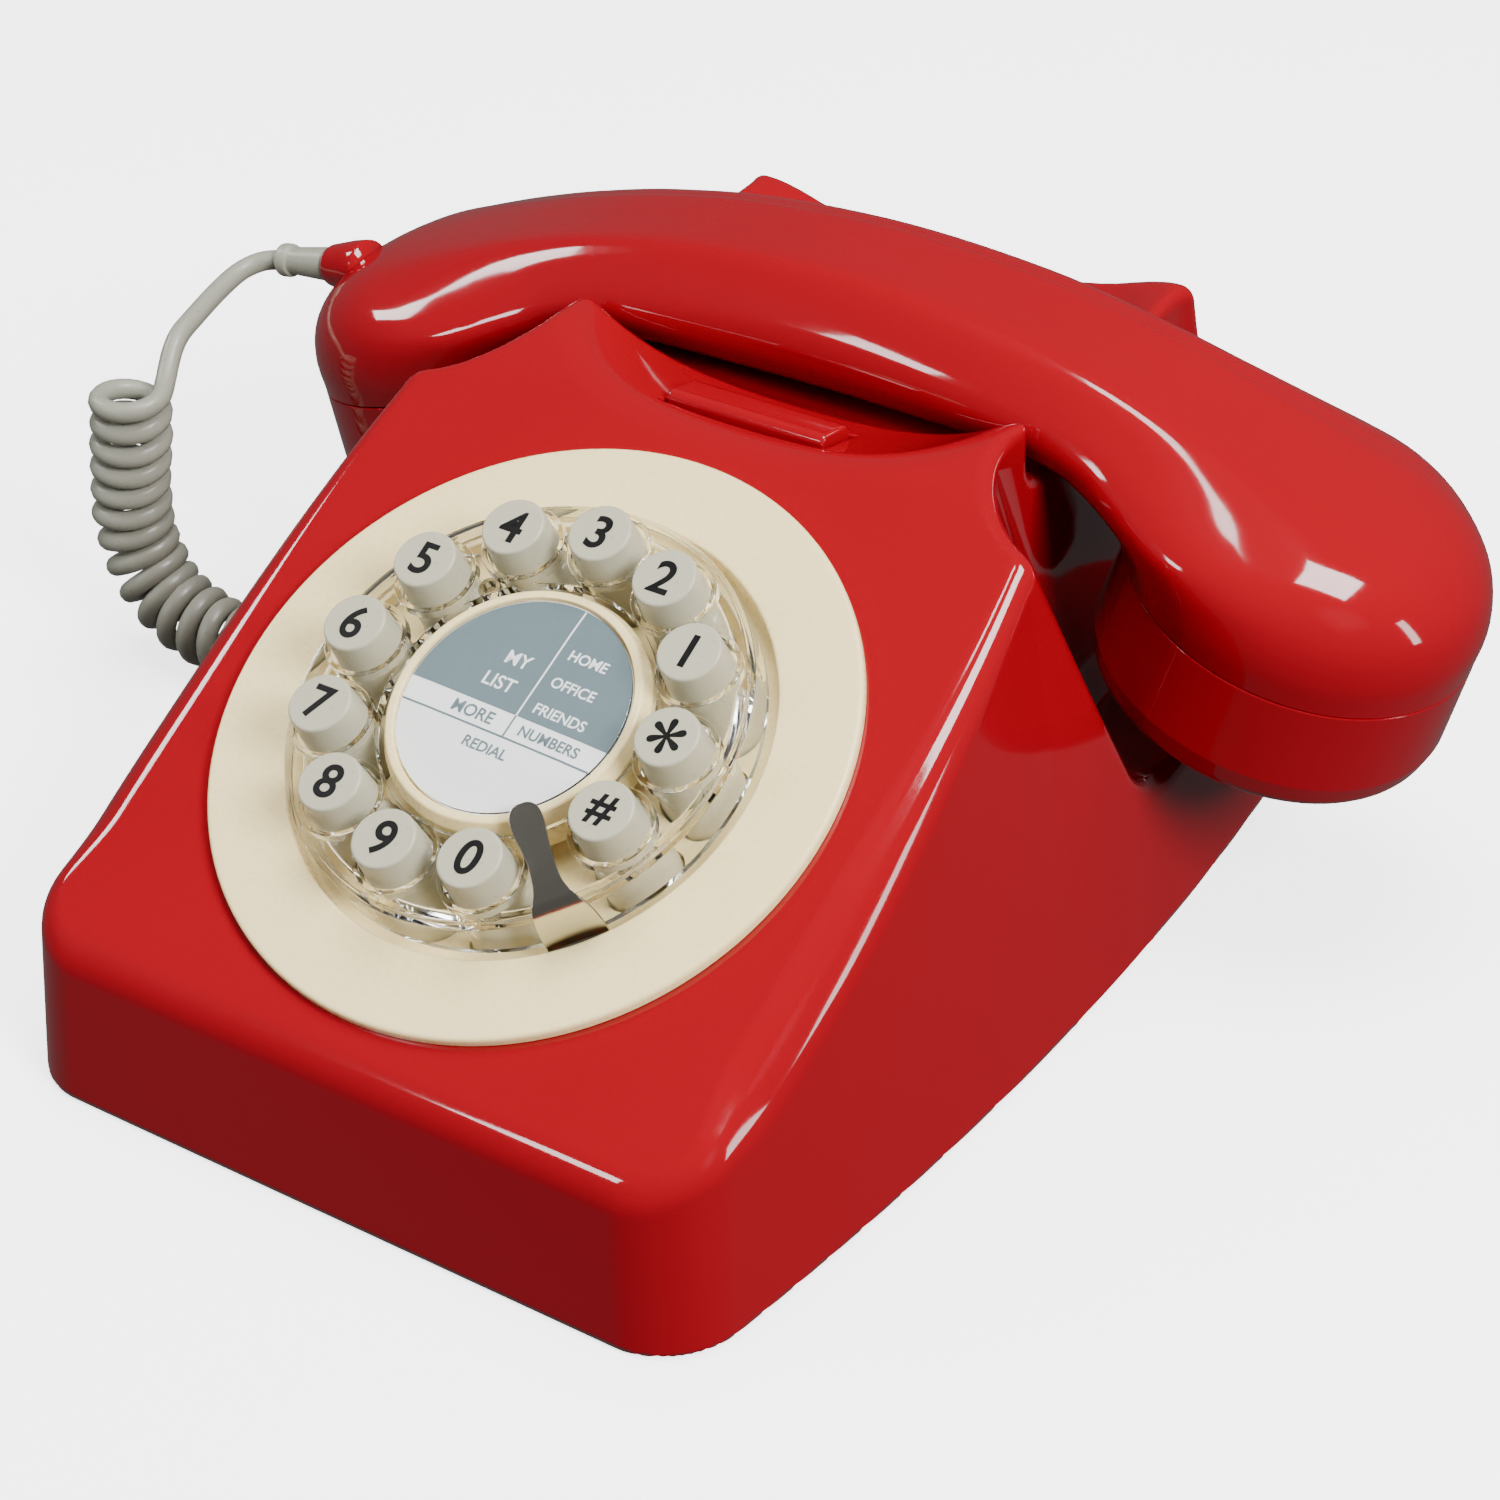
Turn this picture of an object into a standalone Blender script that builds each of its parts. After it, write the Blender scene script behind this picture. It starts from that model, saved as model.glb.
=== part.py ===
"""Desk telephone in the style of the 1960s, with push buttons standing where a dial's finger holes were.

Blender 4.5, metres, +Z up. The front faces -Y and the telephone stands on Z = 0.
Every visible object is one solid piece. Run: blender --background --python part.py
"""

import math

import bmesh
import bpy
from mathutils import Matrix, Vector

MM = 0.001

# Case: outer sizes in millimetres. DEPTH_MID puts Y = 0 halfway between front and rear.
CASE_DEPTH = 205.0
DEPTH_MID = CASE_DEPTH / 2
CASE_BOTTOM = 0.4
WALL = 2.5
FACE_TILT = math.radians(27.1)
DIAL_Y = 57.7 - DEPTH_MID
DIAL_Z = 57.0
HORN_TOP = 89.5
FRONT_DRAFT = 0.09
REAR_DRAFT = 0.14
PLAN_WIDEST_Y = 115.0 - DEPTH_MID
PLAN_HALF_WIDTH = 75.3
PLAN_BOW = 7.6e-4
CORNER_RADIUS = 12.0

# Handset: its length runs along X, and its cups hang over the two sides of the case.
HANDSET_Y = 156.5 - DEPTH_MID
CUP_X = 85.0
CUP_Z = 59.0
CUP_RADIUS = 30.4
CUP_TILT = math.radians(16.6)
CAP_HEIGHT = 22.3
SHELL_WALL = 2.2
HANDLE_TOP = 99.3
HANDLE_BOTTOM = 77.0
HANDLE_HALF_WIDTH = 19.0

# Cradle: a trough along X for the handle, and a scoop beside the neck for each cup.
TROUGH_HALF_WIDTH = 20.3
TROUGH_FLOOR = 76.3
NECK_HALF_WIDTH = 44.5
NECK_FILLET = 17.0
LEDGE_Z = 26.0
HOOK_TRAVEL = 4.0
HOOK_Y = 122.8 - DEPTH_MID

# Dial group, in the tilted frame of the faceplate: radii and heights above the case's front face.
PLATE_RADIUS = 54.0
WELL_RADIUS = 40.2
WELL_FLOOR = -3.0
BUTTON_CIRCLE = 30.0
BUTTON_PITCH = math.radians(29.0)
FIRST_BUTTON = math.radians(-26.35)
BUTTON_TOP = 14.8
BUTTON_TRAVEL = 2.0
HUB_RADIUS = 22.0
HUB_TOP = 9.4
REDIAL_TRAVEL = 1.5
WHEEL_TOP = 8.4
BUTTON_NAMES = ["hash", "star", "1", "2", "3", "4", "5", "6", "7", "8", "9", "0"]

# Cord: plain cord diameter, and the outer diameter of its coil.
CORD_DIAMETER = 3.5
COIL_DIAMETER = 15.5


def clear_scene():
    for obj in list(bpy.data.objects):
        bpy.data.objects.remove(obj)


def plastic(name, colour, roughness=0.25, metallic=0.0, transmission=0.0):
    material = bpy.data.materials.new(name)
    material.use_nodes = True
    shader = material.node_tree.nodes["Principled BSDF"]
    shader.inputs["Base Color"].default_value = (*colour, 1.0)
    shader.inputs["Roughness"].default_value = roughness
    shader.inputs["Metallic"].default_value = metallic
    shader.inputs["Transmission Weight"].default_value = transmission
    return material


def add_mesh(name, points, faces, material=None, parent=None, smooth=True):
    """An object from points in millimetres. Faces may have any number of corners."""
    mesh = bpy.data.meshes.new(name)
    mesh.from_pydata([Vector(p) * MM for p in points], [], faces)
    work = bmesh.new()
    work.from_mesh(mesh)
    bmesh.ops.recalc_face_normals(work, faces=work.faces)
    if work.calc_volume(signed=True) < 0:
        bmesh.ops.reverse_faces(work, faces=work.faces)
    work.to_mesh(mesh)
    work.free()
    obj = bpy.data.objects.new(name, mesh)
    bpy.context.scene.collection.objects.link(obj)
    if material:
        mesh.materials.append(material)
    if smooth:
        mesh.shade_smooth()
        mesh.set_sharp_from_angle(angle=math.radians(35))
    obj.parent = parent
    return obj


def loft(name, loops, material=None, parent=None):
    """A solid skinned over closed loops of the same length, with flat ends."""
    count = len(loops[0])
    points = [p for loop in loops for p in loop]
    faces = [list(range(count))]
    for i in range(len(loops) - 1):
        for j in range(count):
            k = (j + 1) % count
            faces.append([i * count + j, i * count + k, (i + 1) * count + k, (i + 1) * count + j])
    last = (len(loops) - 1) * count
    faces.append([last + j for j in reversed(range(count))])
    return add_mesh(name, points, faces, material, parent)


def prism(name, outline, x0, x1, material=None, parent=None):
    """An outline of (y, z) points, extruded along X."""
    loops = [[(x, y, z) for y, z in outline] for x in (x0, x1)]
    return loft(name, loops, material, parent)


def slab(name, outline, z0, z1, material=None, parent=None):
    """An outline of (x, y) points, extruded along Z."""
    loops = [[(x, y, z) for x, y in outline] for z in (z0, z1)]
    return loft(name, loops, material, parent)


def block(name, low, high, material=None, parent=None):
    outline = [(low[0], low[1]), (high[0], low[1]), (high[0], high[1]), (low[0], high[1])]
    return slab(name, outline, low[2], high[2], material, parent)


def revolve(name, profile, steps, material=None, parent=None, centre=(0, 0), closed=False):
    """A closed profile of (radius, z) points turned about Z. A radius of 0 lies on the axis."""
    points = []
    ring_of = []
    for radius, z in profile:
        if radius == 0:
            ring_of.append([len(points)])
            points.append((centre[0], centre[1], z))
            continue
        ring_of.append([len(points) + i for i in range(steps)])
        for i in range(steps):
            a = math.tau * i / steps
            points.append((centre[0] + radius * math.cos(a), centre[1] + radius * math.sin(a), z))
    faces = []
    pairs = list(zip(ring_of, ring_of[1:]))
    if closed:
        pairs.append((ring_of[-1], ring_of[0]))
    for low, high in pairs:
        for i in range(steps):
            k = (i + 1) % steps
            corners = [low[i % len(low)], low[k % len(low)], high[k % len(high)], high[i % len(high)]]
            face = list(dict.fromkeys(corners))
            if len(face) > 2:
                faces.append(face)
    return add_mesh(name, points, faces, material, parent)


def rod(name, radius, z0, z1, steps, material=None, parent=None, centre=(0, 0)):
    profile = [(0, z0), (radius, z0), (radius, z1), (0, z1)]
    return revolve(name, profile, steps, material, parent, centre)


def joined(name, parts):
    """One object that holds the meshes of several, which it takes over."""
    work = bmesh.new()
    for part in parts:
        work.from_mesh(part.data)
    mesh = bpy.data.meshes.new(name)
    work.to_mesh(mesh)
    work.free()
    obj = bpy.data.objects.new(name, mesh)
    bpy.context.scene.collection.objects.link(obj)
    obj.parent = parts[0].parent
    for part in parts:
        bpy.data.objects.remove(part)
    return obj


def hide(helper):
    helper.hide_render = True
    helper.display_type = "WIRE"
    return helper


def cut(target, helper, operation="DIFFERENCE"):
    hide(helper)
    modifier = target.modifiers.new(helper.name, "BOOLEAN")
    modifier.operation = operation
    modifier.solver = "EXACT"
    modifier.object = helper


def tube(name, points, diameter, material, resolution=2):
    """A cord through points in millimetres, as a curve with filled ends."""
    curve = bpy.data.curves.new(name, "CURVE")
    curve.dimensions = "3D"
    curve.bevel_depth = diameter / 2 * MM
    curve.bevel_resolution = resolution
    curve.render_resolution_u = 0
    curve.use_fill_caps = True
    spline = curve.splines.new("POLY")
    spline.points.add(len(points) - 1)
    for point, place in zip(spline.points, points):
        point.co = (*(Vector(place) * MM), 1.0)
    curve.materials.append(material)
    obj = bpy.data.objects.new(name, curve)
    bpy.context.scene.collection.objects.link(obj)
    return obj


def through(points, steps):
    """A smooth line through points: a Catmull-Rom curve with this many steps between each two."""
    knots = [Vector(p) for p in points]
    knots = [2 * knots[0] - knots[1], *knots, 2 * knots[-1] - knots[-2]]
    line = []
    for a, b, c, d in zip(knots, knots[1:], knots[2:], knots[3:]):
        for i in range(steps):
            t = i / steps
            line.append(
                0.5 * (2 * b + (c - a) * t + (2 * a - 5 * b + 4 * c - d) * t**2 + (3 * b - a - 3 * c + d) * t**3)
            )
    line.append(knots[-2])
    return line


def arc(centre, radius, start, end, steps):
    """Points on an arc, with its angles in degrees."""
    angles = [math.radians(start + (end - start) * i / steps) for i in range(steps + 1)]
    return [(centre[0] + radius * math.cos(a), centre[1] + radius * math.sin(a)) for a in angles]


# ---------------------------------------------------------------- case


def side_x(y, z, inset=0.0):
    """Half width of the case at a height: the plan bows out, and the draft grows towards the rear."""
    from_front = y + DEPTH_MID
    bowed = PLAN_HALF_WIDTH - PLAN_BOW * (y - PLAN_WIDEST_Y) ** 2
    draft = min(0.062 + 0.00103 * from_front, 0.17)
    return bowed - draft * z - inset


def case_outline(z, inset):
    """The case in plan at height z, as a rounded outline that starts at the front right corner."""
    front = -DEPTH_MID + FRONT_DRAFT * z + inset
    rear = DEPTH_MID - REAR_DRAFT * z - inset
    radius = CORNER_RADIUS - inset
    low = front + radius
    high = rear - radius
    right = arc((side_x(low, z, inset) - radius, low), radius, -90, 0, 4)
    for i in range(1, 6):
        y = low + (high - low) * i / 6
        right.append((side_x(y, z, inset), y))
    right += arc((side_x(high, z, inset) - radius, high), radius, 0, 90, 4)
    return right + [(-x, y) for x, y in reversed(right)]


def case_block(name, inset, material=None):
    """The tapered block that the case is cut from. The inset one reaches below the rim."""
    low = CASE_BOTTOM if inset == 0 else -5.0
    loops = [[(x, y, z) for x, y in case_outline(z, inset)] for z in (low, 110.0)]
    return loft(name, loops, material)


def face_z(y, drop=0.0):
    return DIAL_Z + (y - DIAL_Y) * math.tan(FACE_TILT) - drop / math.cos(FACE_TILT)


def cut_top(target, grow):
    """Takes away what is above the sloping front face and above the horns."""
    low_y = -DEPTH_MID - 30
    top = HORN_TOP - grow
    edge_y = DIAL_Y + (top + grow / math.cos(FACE_TILT) - DIAL_Z) / math.tan(FACE_TILT)
    outline = [(low_y, face_z(low_y, grow)), (edge_y, top), (DEPTH_MID + 30, top), (DEPTH_MID + 30, 150), (low_y, 150)]
    cut(target, prism(f"{target.name}_above", outline, -120, 120))


def cut_trough(target, grow):
    """The channel that the handle lies in, open at both sides of the neck."""
    half = TROUGH_HALF_WIDTH + grow
    floor = TROUGH_FLOOR - grow
    walls = [(-half, 130), (-half, floor + 6), (-half + 2.5, floor + 2), (-half + 7, floor)]
    outline = walls + [(-y, z) for y, z in reversed(walls)]
    cut(target, prism(f"{target.name}_trough", [(HANDSET_Y + y, z) for y, z in outline], -121, 121))


def scoop_z(x, y, grow=0.0):
    """Height of the dished top between the horns, which falls towards the handle."""
    from_handle = abs(y - HANDSET_Y) - TROUGH_HALF_WIDTH
    return 79.0 + 0.236 * from_handle + 0.0024 * x**2 + 1.6e-6 * x**4 - grow


def cut_scoops(target, grow):
    """The dish between the two front horns, and the same one between the rear horns."""
    for side, name in ((-1, "front"), (1, "rear")):
        loops = []
        for distance in (TROUGH_HALF_WIDTH - 1, TROUGH_HALF_WIDTH + 50):
            y = HANDSET_Y + side * distance
            xs = [-54 + 9 * i for i in range(13)]
            low = [(x, y, scoop_z(x, y, grow)) for x in xs]
            loops.append(low + [(54, y, 140), (-54, y, 140)])
        cut(target, loft(f"{target.name}_{name}_scoop", loops))


def cut_cup_rooms(target, grow):
    """The room beside the neck that each cup hangs in, with a ledge below it."""
    neck = NECK_HALF_WIDTH - grow
    for side, name in ((1, "right"), (-1, "left")):
        loops = []
        for z in (LEDGE_Z - grow, 120.0):
            front = 107.0 - DEPTH_MID + 0.447 * (82.0 - z) - grow
            rear = DEPTH_MID - 5.0 + grow
            outline = arc((neck + NECK_FILLET, front + NECK_FILLET), NECK_FILLET, 180, 270, 6)
            outline += [(125, front - 6), (125, DEPTH_MID + 40), (neck + NECK_FILLET, DEPTH_MID + 40)]
            outline += arc((neck + NECK_FILLET, rear - NECK_FILLET), NECK_FILLET, 90, 180, 6)
            loops.append([(side * x, y, z) for x, y in outline])
        cut(target, loft(f"{target.name}_{name}_cup_room", loops))


def screw_places():
    return [(-48, -DEPTH_MID + 21), (48, -DEPTH_MID + 21), (-55, DEPTH_MID - 23), (55, DEPTH_MID - 23)]


def add_case(material):
    case = case_block("case", 0.0, material)
    cut_top(case, 0.0)
    cut_trough(case, 0.0)
    cut_scoops(case, 0.0)
    cut_cup_rooms(case, 0.0)
    cavity = case_block("case_cavity", WALL)
    cut_top(cavity, WALL)
    cut_trough(cavity, WALL)
    cut_scoops(cavity, WALL)
    cut_cup_rooms(cavity, WALL)
    cut(case, cavity)
    bosses = [rod(f"boss_{i}", 4.0, 5.2, 35.0 if y < 0 else 24.5, 12, centre=(x, y)) for i, (x, y) in enumerate(screw_places())]
    cut(case, joined("case_bosses", bosses), "UNION")
    bores = [rod(f"bore_{i}", 1.7, 3.0, 17.0, 12, centre=(x, y)) for i, (x, y) in enumerate(screw_places())]
    cut(case, joined("case_boss_bores", bores))
    dial_opening = rod("case_dial_opening", 43.6, -8.0, 12.0, 36)
    place_on_dial(dial_opening)
    cut(case, dial_opening)
    low = HOOK_Y - 4.6
    cut(case, block("case_hook_slot", (-15.9, low, 70), (15.9, low + 9.2, 100)))
    rear = DEPTH_MID
    cut(case, block("case_line_hole", (24.7, rear - 12, 10.3), (35.3, rear + 5, 17.9)))
    cut(case, block("case_handset_hole", (-35.3, rear - 12, 10.3), (-24.7, rear + 5, 17.9)))
    cut(case, block("case_ringer_slot", (-17.0, rear - 16, 27.7), (-7.0, rear + 5, 32.3)))
    cut(case, block("case_tone_slot", (7.0, rear - 16, 27.7), (17.0, rear + 5, 32.3)))


def add_base(black, rubber, steel):
    inset = WALL + 0.5
    plate = slab("base_plate", case_outline(3.4, inset), 2.3, 4.5, black)
    holes = [rod(f"plate_hole_{i}", 1.8, 0, 7, 12, centre=place) for i, place in enumerate(screw_places())]
    cut(plate, joined("base_plate_holes", holes))
    corners = [(-44, -70), (44, -70), (-52, 66), (52, 66)]
    for i, place in enumerate(corners):
        profile = [(0, 0), (6.0, 0), (6.8, 0.8), (6.8, 2.0), (0, 2.0)]
        revolve(f"foot_{i + 1}", profile, 16, rubber, centre=place)
    for i, place in enumerate(screw_places()):
        profile = [(0, 1.1), (2.6, 1.1), (3.2, 1.5), (3.2, 2.0), (1.4, 2.0), (1.4, 14.0), (0, 15.0)]
        revolve(f"base_screw_{i + 1}", profile, 12, steel, centre=place)


# ---------------------------------------------------------------- dial group


def place_on_dial(obj):
    obj.location = Vector((0, DIAL_Y, DIAL_Z)) * MM
    obj.rotation_euler = (FACE_TILT, 0, 0)
    return obj


def dial_frame():
    frame = bpy.data.objects.new("dial_frame", None)
    bpy.context.scene.collection.objects.link(frame)
    return place_on_dial(frame)


def button_place(index):
    angle = FIRST_BUTTON + index * BUTTON_PITCH
    return BUTTON_CIRCLE * math.cos(angle), BUTTON_CIRCLE * math.sin(angle)


def add_faceplate(frame, cream):
    profile = [
        (5.2, WELL_FLOOR), (WELL_RADIUS, WELL_FLOOR), (WELL_RADIUS + 0.2, 1.6), (WELL_RADIUS + 0.8, 2.0),
        (52.6, 2.0), (53.7, 1.5), (PLATE_RADIUS, 0.9), (PLATE_RADIUS, 0.3), (42.8, 0.3),
        (42.6, WELL_FLOOR - 1.6), (5.2, WELL_FLOOR - 1.6),
    ]
    plate = revolve("dial_faceplate", profile, 40, cream, frame, closed=True)
    holes = [rod(f"floor_hole_{i}", 6.5, -8, 0, 12, centre=button_place(i)) for i in range(12)]
    holes = joined("faceplate_holes", holes)
    holes.parent = frame
    cut(plate, holes)
    slot = block("finger_stop_slot", (-5.6, -45.0, -0.1), (5.6, -38.6, 1.5), parent=frame)
    slot.rotation_euler = (0, 0, STOP_TURN)
    cut(plate, slot)


def add_wheel(frame, clear):
    """The clear wheel: a plate with a collar round each button, and a rim that hangs into the well."""
    profile = [
        (23.0, WHEEL_TOP - 2.0), (35.6, WHEEL_TOP - 2.0), (37.0, 0.4), (38.6, 0.4), (38.4, WHEEL_TOP - 0.6),
        (37.6, WHEEL_TOP), (23.0, WHEEL_TOP),
    ]
    wheel = revolve("finger_wheel", profile, 36, clear, frame, closed=True)
    collars = [rod(f"collar_{i}", 7.2, WHEEL_TOP - 1.0, WHEEL_TOP + 1.6, 14, centre=button_place(i)) for i in range(12)]
    collars = joined("wheel_collars", collars)
    collars.parent = frame
    cut(wheel, collars, "UNION")
    holes = [rod(f"wheel_hole_{i}", 6.3, 0, 14, 14, centre=button_place(i)) for i in range(12)]
    holes = joined("wheel_holes", holes)
    holes.parent = frame
    cut(wheel, holes)
    for i, slot in enumerate((2.5, 5.5, 9.5)):
        angle = FIRST_BUTTON + slot * BUTTON_PITCH
        place = (25.4 * math.cos(angle), 25.4 * math.sin(angle))
        profile = [(0, WELL_FLOOR + 0.3), (2.1, WELL_FLOOR + 0.3), (1.9, WHEEL_TOP - 2.3), (0, WHEEL_TOP - 2.3)]
        revolve(f"wheel_post_{i + 1}", profile, 12, clear, frame, centre=place)


# The finger stop stands in the middle of the gap between the 0 and the hash button.
STOP_TURN = FIRST_BUTTON - (math.tau - 11 * BUTTON_PITCH) / 2 + math.radians(90)


def add_finger_stop(frame, steel):
    """A bent strip: (distance from the hub, height, half width, sideways) down its length."""
    path = [
        (42.0, 0.7, 4.9, 0), (39.9, 0.7, 4.9, 0), (39.25, 1.6, 4.9, 0), (39.25, 6.5, 4.6, 0), (39.1, 10.2, 4.0, -0.1),
        (38.0, 11.4, 3.2, -0.2), (35.0, 11.7, 2.1, -0.4), (29.0, 11.6, 2.2, -0.9), (24.0, 11.4, 2.7, -1.4),
        (21.0, 11.3, 2.3, -1.6), (19.8, 11.25, 1.2, -1.7),
    ]
    half = 0.4
    upper = []
    lower = []
    for i, (r, w, width, aside) in enumerate(path):
        before = path[max(i - 1, 0)]
        after = path[min(i + 1, len(path) - 1)]
        along = Vector((after[0] - before[0], after[1] - before[1])).normalized()
        normal = Vector((-along.y, along.x)) * half
        upper.append((r + normal.x, w + normal.y, width, aside))
        lower.append((r - normal.x, w - normal.y, width, aside))
    points = []
    for r, w, width, aside in upper + lower:
        points += [(aside - width, -r, w), (aside + width, -r, w)]
    n = len(path)
    faces = []
    for i in range(n - 1):
        a = 2 * i
        b = 2 * (n + i)
        faces += [[a, a + 1, a + 3, a + 2], [b, b + 2, b + 3, b + 1], [a, a + 2, b + 2, b], [a + 1, b + 1, b + 3, a + 3]]
    faces += [[0, 2 * n, 2 * n + 1, 1], [2 * n - 2, 2 * n - 1, 4 * n - 1, 4 * n - 2]]
    strip = add_mesh("finger_stop", points, faces, steel, frame)
    strip.rotation_euler = (0, 0, STOP_TURN)


def add_buttons(frame, grey):
    profile = [
        (0, BUTTON_TOP), (4.8, BUTTON_TOP), (5.25, BUTTON_TOP - 0.45), (5.6, 9.0), (5.95, WELL_FLOOR + 1),
        (5.95, WELL_FLOOR - 1.9), (7.0, WELL_FLOOR - 1.9), (7.0, WELL_FLOOR - 3.2), (0, WELL_FLOOR - 3.2),
    ]
    for index, name in enumerate(BUTTON_NAMES):
        button = revolve(f"button_{name}", profile, 14, grey, frame)
        x, y = button_place(index)
        button.location = (x * MM, y * MM, 0)


def add_redial(frame, cream, paper, clear):
    cap = [
        (0, HUB_TOP - 1.6), (19.7, HUB_TOP - 1.6), (19.7, HUB_TOP), (21.2, HUB_TOP), (HUB_RADIUS, HUB_TOP - 0.8),
        (HUB_RADIUS, 0.6), (19.6, 0.6), (19.6, HUB_TOP - 3.4), (4.6, HUB_TOP - 3.4), (4.6, WELL_FLOOR - 1.9),
        (5.8, WELL_FLOOR - 1.9), (5.8, WELL_FLOOR - 3.0), (0, WELL_FLOOR - 3.0),
    ]
    revolve("redial_cap", cap, 32, cream, frame)
    label = [(0, HUB_TOP - 1.3), (19.3, HUB_TOP - 1.3), (19.3, HUB_TOP - 0.9), (0, HUB_TOP - 0.9)]
    revolve("dial_label", label, 32, paper, frame)
    window = [(0, HUB_TOP - 0.6), (19.3, HUB_TOP - 0.6), (19.3, HUB_TOP - 0.1), (13.0, HUB_TOP + 0.45), (0, HUB_TOP + 0.75)]
    revolve("label_window", window, 32, clear, frame)


def add_keypad(frame, rubber, board):
    revolve("keypad_membrane", [(0, -10.2), (39, -10.2), (39, -8.8), (0, -8.8)], 28, rubber, frame)
    revolve("keypad_board", [(0, -12.1), (40, -12.1), (40, -10.5), (0, -10.5)], 28, board, frame)


# ---------------------------------------------------------------- inside and cradle


def add_hook(red, steel, black):
    low = HOOK_Y - 4.3
    high = HOOK_Y + 4.3
    bar = [
        (low, 73.0), (low, 84.4), (low + 1.0, 85.3), (high - 0.8, 84.3), (high, 83.6), (high, 73.0),
        (high - 1.3, 73.0), (high - 1.3, 71.2), (low - 1.5, 71.2), (low - 1.5, 73.0),
    ]
    prism("hook_bar", bar, -15.5, 15.5, red)
    helix = []
    for i in range(37):
        a = math.tau * 4.5 * i / 36
        helix.append((2.6 * math.cos(a), HOOK_Y + 2.6 * math.sin(a), 64.4 + 6.0 * i / 36))
    tube("hook_spring", helix, 0.6, steel, 1)
    block("hook_switch", (-10, HOOK_Y - 3.2, 56.6), (10, HOOK_Y + 3.2, 63.6), black)
    legs = [(-24, 77.0), (-24, 55.0), (24, 55.0), (24, 77.0), (22.8, 77.0), (22.8, 56.3), (-22.8, 56.3), (-22.8, 77.0)]
    loops = [[(x, y, z) for x, z in legs] for y in (HOOK_Y - 6, HOOK_Y + 6)]
    loft("hook_bracket", loops, steel)


def jack(name, x, black):
    """A modular socket: a block behind the rear wall, open to the rear."""
    rear = DEPTH_MID - 5.8
    body = block(name, (x - 6.6, rear - 14, 8.1), (x + 6.6, rear, 20.1), black)
    cut(body, block(f"{name}_bore", (x - 4.9, rear - 11, 10.7), (x + 4.9, rear + 3, 17.5)))


def slide_switch(name, x, black):
    """A knob that shows through a slot in the rear wall, with a flange behind the wall."""
    rear = DEPTH_MID - REAR_DRAFT * 30
    y = rear - WALL
    outline = [
        (rear + 1.3, 28.2), (rear + 1.3, 31.8), (y - 1.0, 31.8), (y - 1.0, 34.0), (y - 2.4, 34.0), (y - 2.4, 26.0),
        (y - 1.0, 26.0), (y - 1.0, 28.2),
    ]
    prism(name, outline, x - 2.4, x + 2.4, black)


def add_inside(board, black, dark):
    block("main_board", (-42, 10, 4.9), (42, 84, 6.5), board)
    profile = [(0, 4.9), (19, 4.9), (19, 8.0), (15, 14.5), (15, 18.0), (0, 18.0)]
    revolve("ringer", profile, 20, dark, centre=(0, -30))
    jack("handset_socket", -30, black)
    jack("line_socket", 30, black)
    slide_switch("ringer_switch", -12, black)
    slide_switch("tone_switch", 12, black)


# ---------------------------------------------------------------- handset


# Lines of the right half in X and Z, from the cup's seam to the middle of the handle:
# the inner line runs up the cup and under the handle, and the outer line over the cup and the handle.
INNER_LINE = [(55.3, 69.3), (54.6, 70.8), (53.6, 72.3), (52.2, 73.7), (50.2, 75.0), (47.2, 76.0), (42.5, 76.7), (34, 77)]
OUTER_LINE = [(115.8, 57.0), (114.8, 63.8), (110.5, 70.2), (103.5, 75.3), (94.0, 79.3), (82, 83.7), (68, 88.5), (50, 93.5)]
HALF_WIDTHS = [30.9, 30.9, 30.4, 29.2, 27.0, 24.0, 21.0, 19.4]
HANDLE_SHARE = [0.0, 0.05, 0.12, 0.25, 0.45, 0.7, 0.9, 1.0]

# The handle's section from below to above, in shares of its half width and half height: the near side rolls
# over softly, and the far side stays wide up to its edge.
NEAR_SIDE = [
    (0, -1), (0.35, -0.98), (0.66, -0.86), (0.9, -0.55), (1.0, -0.15), (0.93, 0.25), (0.78, 0.62), (0.6, 0.92),
    (0.5, 1.0), (0.25, 1.0), (0, 1),
]
FAR_SIDE = [
    (0, -1), (0.35, -0.98), (0.66, -0.86), (0.9, -0.55), (1.0, -0.15), (0.98, 0.25), (0.91, 0.6), (0.79, 0.84),
    (0.58, 0.98), (0.28, 1.0), (0, 1),
]


def half_stations():
    """(inner, outer, half width, handle share) from the right seam to the middle of the handle."""
    across = Vector((math.cos(CUP_TILT), -math.sin(CUP_TILT))) * CUP_RADIUS
    centre = Vector((CUP_X, CUP_Z))
    stations = [(centre - across, centre + across, CUP_RADIUS, 0.0)]
    for inner, outer, width, share in zip(INNER_LINE, OUTER_LINE, HALF_WIDTHS, HANDLE_SHARE):
        stations.append((Vector(inner), Vector(outer), width, share))
    stations.append((Vector((20, HANDLE_BOTTOM)), Vector((28, 97.5)), 19.2, 1.0))
    stations.append((Vector((0, HANDLE_BOTTOM)), Vector((0, HANDLE_TOP)), HANDLE_HALF_WIDTH, 1.0))
    return stations


def handset_loop(station, mirror, inset):
    inner, outer, width, share = station
    middle = (inner + outer) / 2
    up = (outer - inner).normalized()
    half_height = (outer - inner).length / 2 - inset
    half_width = width - inset
    sides = []
    for section, sign in ((FAR_SIDE, 1), (NEAR_SIDE, -1)):
        side = []
        for i, (across, rise) in enumerate(section):
            angle = math.pi * i / (len(section) - 1)
            u = share * across + (1 - share) * math.sin(angle)
            v = share * rise - (1 - share) * math.cos(angle)
            place = middle + up * v * half_height
            side.append((mirror * place.x, HANDSET_Y + sign * u * half_width, place.y))
        sides.append(side)
    return sides[0] + sides[1][-2:0:-1]


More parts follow.
